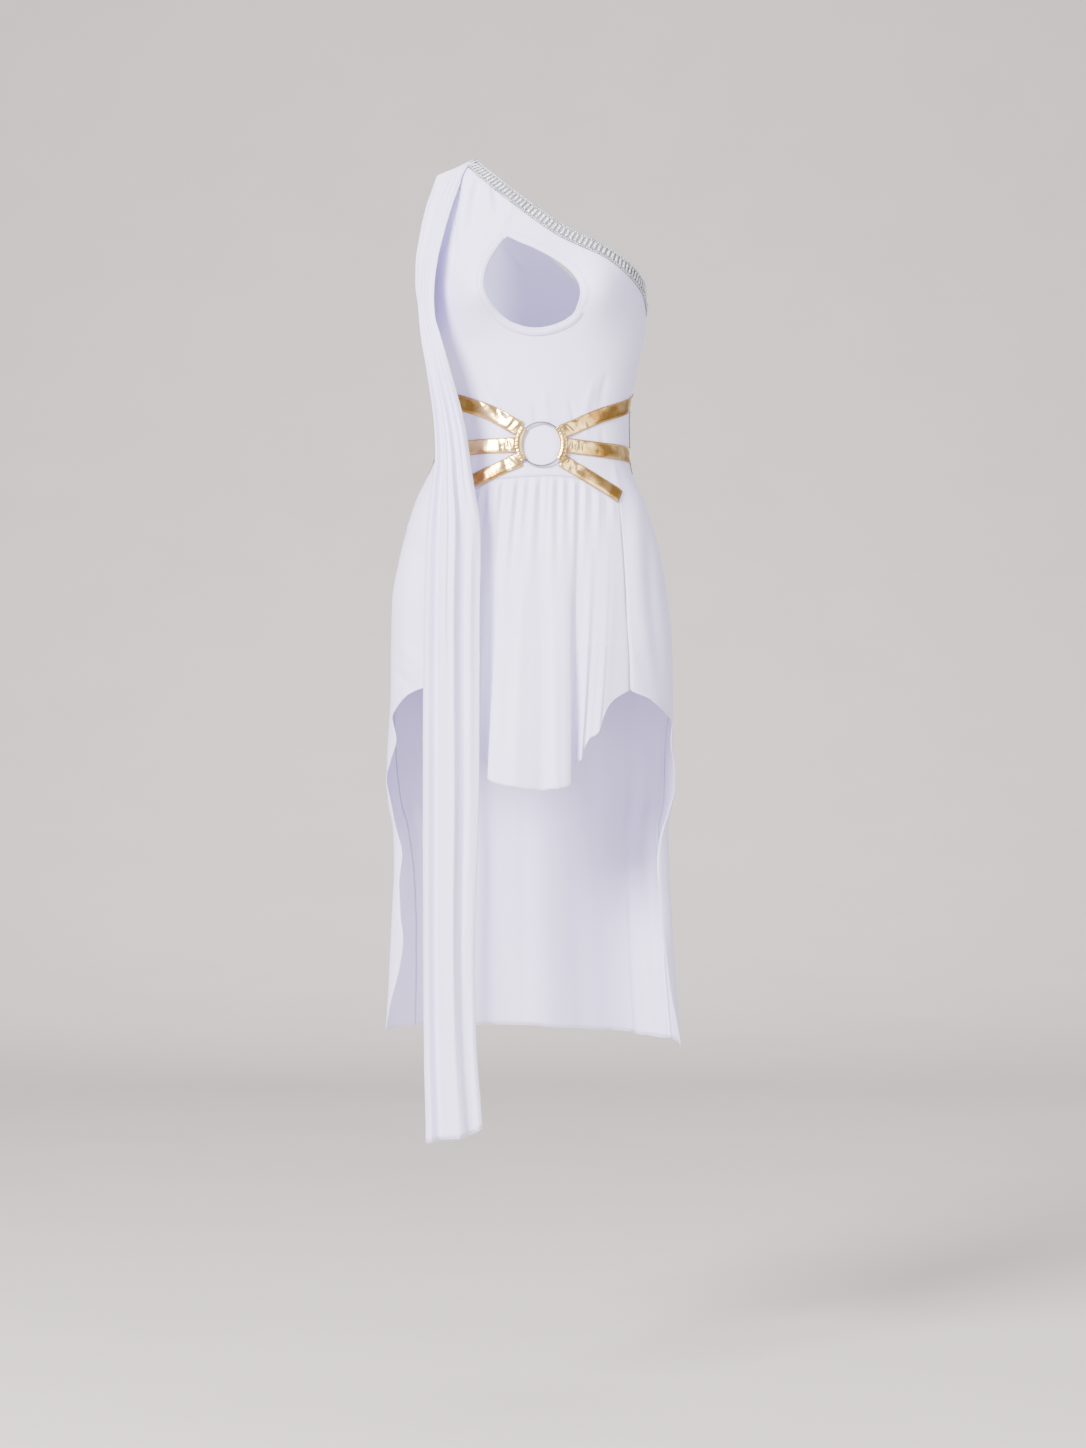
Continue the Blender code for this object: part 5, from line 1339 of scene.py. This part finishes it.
def stone_trim(side, path, length, from_start, replaced):
    """Tape, settings and stones along a neckline band."""
    width = TRIM_WIDTH
    shares = np.linspace(0, 1, TRIM_LINES)
    steps = int(length / TRIM_STEP)
    grid, normals = band_on_body(bodice_tree, path, steps,
                                 lambda t: [-TRIM_EDGE - width * s + 0 * t for s in shares])
    band_shell("neck_tape_" + side, (grid, normals), TAPE_THICK, TAPE_FINISH, [replaced])
    top = grid + normals * TAPE_THICK
    middle, up = top[:, TRIM_LINES // 2], normals[:, TRIM_LINES // 2]
    at = walk(middle, STONE_PITCH, from_start)
    centre, facing = between(middle, at), unit(between(up, at))
    along = unit(between(frames_along(middle), at))
    across = unit(between(top[:, -1] - top[:, 0], at))
    across = unit(across - facing * (across * facing).sum(-1, keepdims=True))
    along = unit(np.cross(across, facing))
    if side == "front":
        free = [sash_tree.find_nearest(Vector(p + n))[3] > SASH_CLEAR_OF_STONES
                for p, n in zip(centre - along * 2, facing)]
        centre, facing, along, across = (v[np.array(free)] for v in (centre, facing, along, across))
    tilt = np.random.default_rng(7).normal(0, STONE_TILT, (len(centre), 2))
    facing = unit(facing + along * tilt[:, :1] + across * tilt[:, 1:])
    wide, long = LONG_STONE
    cup = SETTING_HEIGHT
    form = [octagon(wide * a, long * b, corner, cup + up) for a, b, corner, up in LONG_CUT]
    stones = [copies(*stacked(form), centre, along, across, facing)]
    rim = SETTING_RIM
    form = [octagon(wide + 2 * rim, long + 2 * rim, 0.7, 0.0),
            octagon(wide + 2 * rim, long + 2 * rim, 0.7, cup + 0.1)]
    settings = [copies(*stacked(form), centre, along, across, facing)]
    prong = [circle(radius, cup + up, 5) for radius, up in PRONG]
    for a in (-1, 1):
        for b in (-1, 1):
            shift = along * (a * wide / 2) + across * (b * (long / 2 - 1.2))
            settings.append(copies(*stacked(prong), centre + shift, along, across, facing))
    cup_wide, cup_high = ROUND_SETTING
    for b in (-1, 1):
        for a in (-1, 1):
            shift = across * (b * (long / 2 + 1.75)) + along * (a * STONE_PITCH / 4)
            form = [circle(ROUND_STONE * share, cup_high + up) for share, up in ROUND_CUT]
            stones.append(copies(*stacked(form), centre + shift, along, across, facing))
            form = [circle(cup_wide, 0.0), circle(cup_wide * 0.96, cup_high + 0.08)]
            settings.append(copies(*stacked(form), centre + shift, along, across, facing))
    for row in (0, -1):
        path = top[:, row] + normals[:, row] * 0.2
        settings.append(tube(path, normals[:, row], 0.45, 6))
    points, faces = joined(stones)
    obj_of("neck_stones_" + side, points, faces, [STONE_WITH_PAINTED_SPARKLE], [], False)
    points, faces = joined(settings)
    obj_of("neck_settings_" + side, points, faces, [SETTING_FINISH], [], False)


sash_tree = tree_of([(sash_grid - sash_normals * SASH_SHELL, None)])
path, length = edge_path(FRONT_TOP_X, FRONT_TOP_Z, SHOULDER_FRONT[1], 32, False, 5.0, 2.0)
stone_trim("front", path, length, 2.5, "neck_trim_front")
path, length = edge_path(BACK_TOP_X, BACK_TOP_Z, 0, SHOULDER_BACK[0], True, 2.0, 2.0)
stone_trim("back", path, length, 3.0, "neck_trim_back")


# Belt

def wrinkled(rows, t, c):
    """Height of a strap's wrinkles by share along it and place across it, from -1 to 1."""
    out = np.zeros(np.broadcast(t, c).shape)
    for at, across, lean, width, depth in rows:
        out += depth * bell(t - at - lean * 0.06 * (c - across), width * 1.6) \
            * (0.55 + 0.45 * bell(c - across, 0.8))
    return out


def crowned(c):
    """A strap's thickness by place across it, thinner along its two rows of stitches."""
    edge, crown, dip, _ = STRAP_THICK
    c = np.abs(c[None, :])
    return edge + crown * (1 - c ** 4) - dip * bell(c - 0.84, 0.06)


def foil_strap(piece, node, band, thick):
    """One strap, with raw edges and two rows of stitches for the joined pieces."""
    band_shell(piece, band, thick, FOIL_WITH_PAINTED_REFLECTIONS, [node])
    inner, normals = band
    outer = inner + normals * thick[..., None]
    for k in (0, -1):
        edges.append(tube((inner[:, k] + outer[:, k]) / 2, normals[:, k], RAW_EDGE, 6,
                          flat=0.9))
    for k in (1, -2):
        path = outer[:, k] + normals[:, k] * 0.02
        gold_sewing.append(stitches(path, normals[:, k], *STRAP_STITCH))


def belt_straps():
    """The six foil straps, wrinkled near the ring."""
    for name, (points, end, inner_width, outer_width) in STRAPS.items():
        path = strap_path(points, end)
        along = np.linspace(0, 1, STRAP_STEPS[0] + 1)
        c = np.linspace(-1, 1, STRAP_STEPS[1] + 1)
        band = band_on_body(whole_tree, path, STRAP_STEPS[0], lambda t: [
            (inner_width + (outer_width - inner_width) * t) * k / 2 for k in c],
            STRAP_LIFT * (1 - smooth(along / 0.3)))
        t = along[:, None]
        thick = crowned(c) + (wrinkled(STRAP_WRINKLES[name], t, c[None, :])
                              * smooth((1 - np.abs(c)) / 0.35))
        foil_strap("belt_" + name, name, band, np.maximum(thick, STRAP_THICK[3]))


def side_bands():
    """Upright foil bands that the straps join at the sides."""
    for name, side in (("belt_side_right", 1), ("belt_side_left", -1)):
        angle, width, top, bottom = SIDE_BAND
        c = np.linspace(-1, 1, BAND_STEPS[1] + 1)
        band = band_on_body(bodice_tree,
                            lambda t: (side * angle % 360 + 0 * t, top + (bottom - top) * t),
                            BAND_STEPS[0], lambda t: [width * k / 2 + 0 * t for k in c])
        t = np.linspace(0, 1, BAND_STEPS[0] + 1)[:, None]
        thick = crowned(c) + BAND_RIPPLE * np.sin(t * 23 + c[None, :]) * (1 - np.abs(c[None, :]))
        foil_strap(name + "_foil", name, band, thick)


edges, gold_sewing = [], []
belt_straps()
side_bands()


def ring_point(turn, radius, lift):
    x, z = RING_CENTRE
    y = float(body_point(front_angle(x, z), z)[1]) - RING_STANDS_OFF
    tilt = math.radians(RING_TILT)
    across, up = np.array([1.0, 0, 0]), np.array([0, math.sin(tilt), math.cos(tilt)])
    a = np.radians(turn)[..., None]
    return (np.array([x, y, z]) + (across * np.cos(a) + up * np.sin(a)) * np.asarray(radius)[..., None]
            + np.cross(across, up) * np.asarray(lift)[..., None])


def closed_grid(sections, close_ends):
    """Faces of rows of closed sections, joined end to end or left open."""
    n, m = sections.shape[:2]
    faces = []
    for i in range(n if close_ends else n - 1):
        for j in range(m):
            a, b = i * m + j, i * m + (j + 1) % m
            c, d = (i + 1) % n * m + (j + 1) % m, (i + 1) % n * m + j
            faces.append([a, b, c, d])
    return faces


def belt_ring():
    """Silver wire ring."""
    turn = np.linspace(0, 360, RING_STEPS[0], endpoint=False)[:, None]
    w = np.linspace(0, 2 * math.pi, RING_STEPS[1], endpoint=False)[None, :]
    sections = ring_point(turn + 0 * w, RING_RADIUS + RING_WIRE * np.cos(w) + 0 * turn,
                          RING_WIRE * np.sin(w) + 0 * turn)
    obj_of("belt_ring_wire", sections.reshape(-1, 3), closed_grid(sections, True), [SILVER_FINISH],
           ["belt_ring"])


def ring_casings():
    """Folded foil casings round the ring, each with a row of stitches."""
    for name, middle in CASING_MIDDLE.items():
        t = np.linspace(-1, 1, CASING_STEPS[0] + 1)[:, None]
        w = np.linspace(0, 2 * math.pi, CASING_STEPS[1], endpoint=False)[None, :]
        turn = middle + CASING_HALF_SPAN * t
        pucker = 0.22 * np.sin(t * 34) * np.cos(w / 2) ** 2 + 0.12 * np.sin(t * 61 + 2)
        centre = CASING_RADIUS + CASING_SPREAD * t * t
        out = (CASING_HALF_WIDTH + pucker) * signed_power(np.cos(w), 0.8)
        thick = CASING_HALF_THICK * (0.8 + 0.2 * np.cos(w)) - 0.1 + 0.5 * pucker
        lift = thick * signed_power(np.sin(w), 0.8)
        lift = lift - 0.45 * bell(out - CASING_HALF_WIDTH * 0.55, 0.7) * (np.sin(w) > 0)
        outer = ring_point(turn + 0 * w, centre + out, lift)
        hole = ring_point(turn + 0 * w, RING_RADIUS + (CASING_HOLE - 0.2) * np.cos(w) + 0 * t,
                          (CASING_HOLE - 0.2) * np.sin(w) + 0 * t)
        n, m = outer.shape[:2]
        faces = closed_grid(outer, False)
        faces += [[k + n * m for k in reversed(f)] for f in closed_grid(hole, False)]
        for j in range(m):
            a, b = j, (j + 1) % m
            faces.append([b, a, a + n * m, b + n * m])
            a, b = a + (n - 1) * m, b + (n - 1) * m
            faces.append([a, b, b + n * m, a + n * m])
        obj_of("belt_" + name, np.concatenate([outer.reshape(-1, 3), hole.reshape(-1, 3)]), faces,
               [FOIL_WITH_PAINTED_REFLECTIONS], [name])
        row = ring_point(turn[:, 0], centre[:, 0] + CASING_HALF_WIDTH * 0.55,
                         0 * t[:, 0] + CASING_HALF_THICK * 0.66)
        face_up = unit(ring_point(turn[:, 0], centre[:, 0], 0 * t[:, 0] + 1)
                       - ring_point(turn[:, 0], centre[:, 0], 0 * t[:, 0]))
        gold_sewing.append(stitches(row, face_up, *CASING_STITCH))


belt_ring()
ring_casings()
points, faces = joined(edges)
obj_of("belt_raw_edges", points, faces, [COPPER_FINISH])
points, faces = joined(gold_sewing)
obj_of("belt_stitches", points, faces, [TAN_THREAD])


# Hems and seams

def along_row(grid, normals, i, first=0, last=None, out=0.0):
    rows = slice(first, last)
    return grid[i, rows] + normals[i, rows] * out, normals[i, rows]


def along_column(grid, normals, j, first=0, last=None, out=0.0):
    return grid[first:last, j] + normals[first:last, j] * out, normals[first:last, j]


def rolled(path, normals, radius, seed, flat=0.8, ripple=0.3):
    """Cut edge that rolls slightly, as a tube of uneven thickness."""
    wave = np.random.default_rng(seed).normal(0, 1, len(path))
    wave = np.convolve(wave, np.ones(3) / 3, mode="same")
    return tube(path, normals, radius * (1 + ripple * np.clip(wave, -1.2, 1.2)), 6, flat=flat)


def rolled_hems():
    """Rolled edges of the hems, gores, sash and armhole."""
    gore_left = GORE_COLUMNS * FINE_COLUMNS
    gore_right = gore_left + MIDDLE_COLUMNS * FINE_COLUMNS
    free = FINE_BODICE_ROWS + CORNER_ROW * FINE_ROWS
    half = -CLOTH / 2
    hems = [
        rolled(*along_row(back, back_normals, -1, out=half), HEM_ROLL, 1),
        rolled(*along_row(front, front_normals, -1, 0, gore_left + 1, half), HEM_ROLL, 2),
        rolled(*along_row(front, front_normals, -1, gore_right, None, half), HEM_ROLL, 3),
        rolled(*along_column(front, front_normals, gore_left, free, None, half), HEM_ROLL, 4),
        rolled(*along_column(front, front_normals, gore_right, free, None, half), HEM_ROLL, 5),
        rolled(*along_row(panel, panel_normals, -1, out=half), PANEL_ROLL, 6, ripple=0.45),
        rolled(*along_row(sash_grid, sash_normals, -1, out=-SASH_SHELL / 2), SASH_ROLL, 7, ripple=0.5),
        rolled(*along_column(sash_grid, sash_normals, 0, 6, None, -SASH_SHELL / 2), SASH_SIDE_ROLL, 8),
        rolled(*along_column(sash_grid, sash_normals, -1, 6, None, -SASH_SHELL / 2), SASH_SIDE_ROLL, 9),
    ]
    armhole = slice(0, 9 * FINE_COLUMNS + 1)
    hems.append(rolled(front[0, armhole] - front_normals[1, armhole] * CLOTH * 1.5,
                       front_normals[1, armhole], 0.5, 10, ripple=0.1))
    armhole = slice(14 * FINE_BACK_COLUMNS, None)
    hems.append(rolled(back[0, armhole] + back_normals[1, armhole] * half, back_normals[1, armhole],
                       0.75, 11, ripple=0.1))
    return hems


hems = rolled_hems()


def seam_allowances():
    """Cut edges of the side seams that show inside the tail."""
    for name, edge, inward in (("right", 0, 2), ("left", -1, -3)):
        rows = slice(FINE_BODICE_ROWS, None)
        start, end = back[rows, edge], back[rows, inward]
        facing = unit(back_normals[rows, edge] + back_normals[rows, inward])
        run = np.linspace(0, 1, len(start))[:, None]
        strip = []
        for share in np.linspace(0, 1, 5):
            wave = 0.5 + 0.45 * np.sin(run * 71) + 0.3 * np.sin(run * 173)
            stands = CLOTH + ALLOWANCE_OFF + share * wave
            strip.append(start + (end - start) * share - facing * stands)
        strip = np.stack(strip, axis=1)
        if name == "left":
            strip = strip[:, ::-1].copy()
        shell("seam_allowance_" + name, strip, np.repeat(facing[:, None], 5, axis=1), ALLOWANCE,
              [CLOTH_FINISH])


seam_allowances()


def frayed_threads():
    """Loose thread ends along the three cut hems."""
    chance = np.random.default_rng(11)
    threads = []
    for grid, (count, long) in zip((sash_grid, panel, back), THREADS):
        for place in np.sort(chance.uniform(0, grid.shape[1] - 1.01, count)):
            root = between(grid[-1], np.array([place]))[0] + np.array([0, 0.3, 0.3])
            lean, length = chance.normal(0, 0.35, 2), long * chance.uniform(0.35, 1.0)
            t = np.linspace(0, 1, 4)[:, None]
            bend = np.array([lean[0], lean[1] * 0.5, 0.1])
            path = root + t * np.array([0, 0, -length]) + t ** 2 * length * bend
            threads.append(tube(path, np.tile([0, -1.0, 0], (4, 1)), THREAD, 3))
    points, faces = joined(threads)
    obj_of("frayed_threads", points, faces, [EDGE_FINISH])


frayed_threads()
points, faces = joined(hems)
obj_of("rolled_edges", points, faces, [EDGE_FINISH])
points, faces = joined(sewing)
sewing_piece = obj_of("bodice_stitches", points, faces, [THREAD_WITH_PAINTED_GROOVE_SHADE])


# Floor, light and camera

# Each lamp: name, place, target, diameter in metres, watts
LIGHTS = (
    ("key", (-2.1, -3.4, 1.5), (0.1, 0, -0.6), 1.6, 640),
    ("fill", (2.6, -3.2, 0.2), (0.1, 0, -0.6), 3.0, 84),
    ("top", (0.2, 0.4, 2.6), (0.1, 0, -0.4), 2.5, 60),
    ("behind", (1.2, 3.4, 1.0), (0.1, 0, -0.6), 2.5, 22),
    ("wall", (0.0, 4.8, 2.4), (0.0, 10.0, 0.6), 5.0, 260),
)
SKY = (0.82, 0.81, 0.93, 1)
LENS, SENSOR_HEIGHT = 85, 36
CAMERA_AT = (0.1063, -4.0, -0.646)
# Studio floor: front edge, where it starts to curve up, radius, half width, in metres
FLOOR_FRONT, SWEEP_FROM, SWEEP_RADIUS, FLOOR_HALF = -9.0, 4.4, 6, 12


def stage():
    mesh = bpy.data.meshes.new("studio_floor")
    bend = np.linspace(0, math.pi / 2, 24)[1:]
    ys = [FLOOR_FRONT, SWEEP_FROM] + [SWEEP_FROM + SWEEP_RADIUS * math.sin(a) for a in bend]
    ys.append(SWEEP_FROM + SWEEP_RADIUS)
    zs = [0.0, 0.0] + [SWEEP_RADIUS - SWEEP_RADIUS * math.cos(a) for a in bend] + [10.0]
    points = [(x, y, z + FLOOR * MM) for y, z in zip(ys, zs) for x in (-FLOOR_HALF, FLOOR_HALF)]
    faces = [[2 * k, 2 * k + 1, 2 * k + 3, 2 * k + 2] for k in range(len(ys) - 1)]
    mesh.from_pydata(points, [], faces)
    mesh.polygons.foreach_set("use_smooth", [True] * len(mesh.polygons))
    floor = bpy.data.objects.new("studio_floor", mesh)
    bpy.context.scene.collection.objects.link(floor)
    mesh.materials.append(speckled("studio_paint", (0.60, 0.555, 0.505), (0.62, 0.575, 0.525), 0.0,
                                   (0.8, 0.9), 3.0, 0.02, 0.001))


def light(name, place, target, size, power):
    lamp = bpy.data.lights.new(name, "AREA")
    lamp.shape, lamp.size, lamp.energy = "DISK", size, power
    obj = bpy.data.objects.new(name, lamp)
    obj.location = place
    obj.rotation_euler = (Vector(target) - Vector(place)).to_track_quat("-Z", "Y").to_euler()
    bpy.context.scene.collection.objects.link(obj)


stage()
for name, place, target, size, power in LIGHTS:
    light(name, place, target, size, power)
world = bpy.data.worlds.new("studio")
world.use_nodes = True
world.node_tree.nodes["Background"].inputs["Color"].default_value = SKY
world.node_tree.nodes["Background"].inputs["Strength"].default_value = 1.0
bpy.context.scene.world = world

camera = bpy.data.cameras.new("photo_view")
camera.lens, camera.sensor_fit, camera.sensor_height = LENS, "VERTICAL", SENSOR_HEIGHT
camera_obj = bpy.data.objects.new("photo_view", camera)
camera_obj.location = CAMERA_AT
camera_obj.rotation_euler = (math.radians(90), 0, 0)
bpy.context.scene.collection.objects.link(camera_obj)
bpy.context.scene.camera = camera_obj
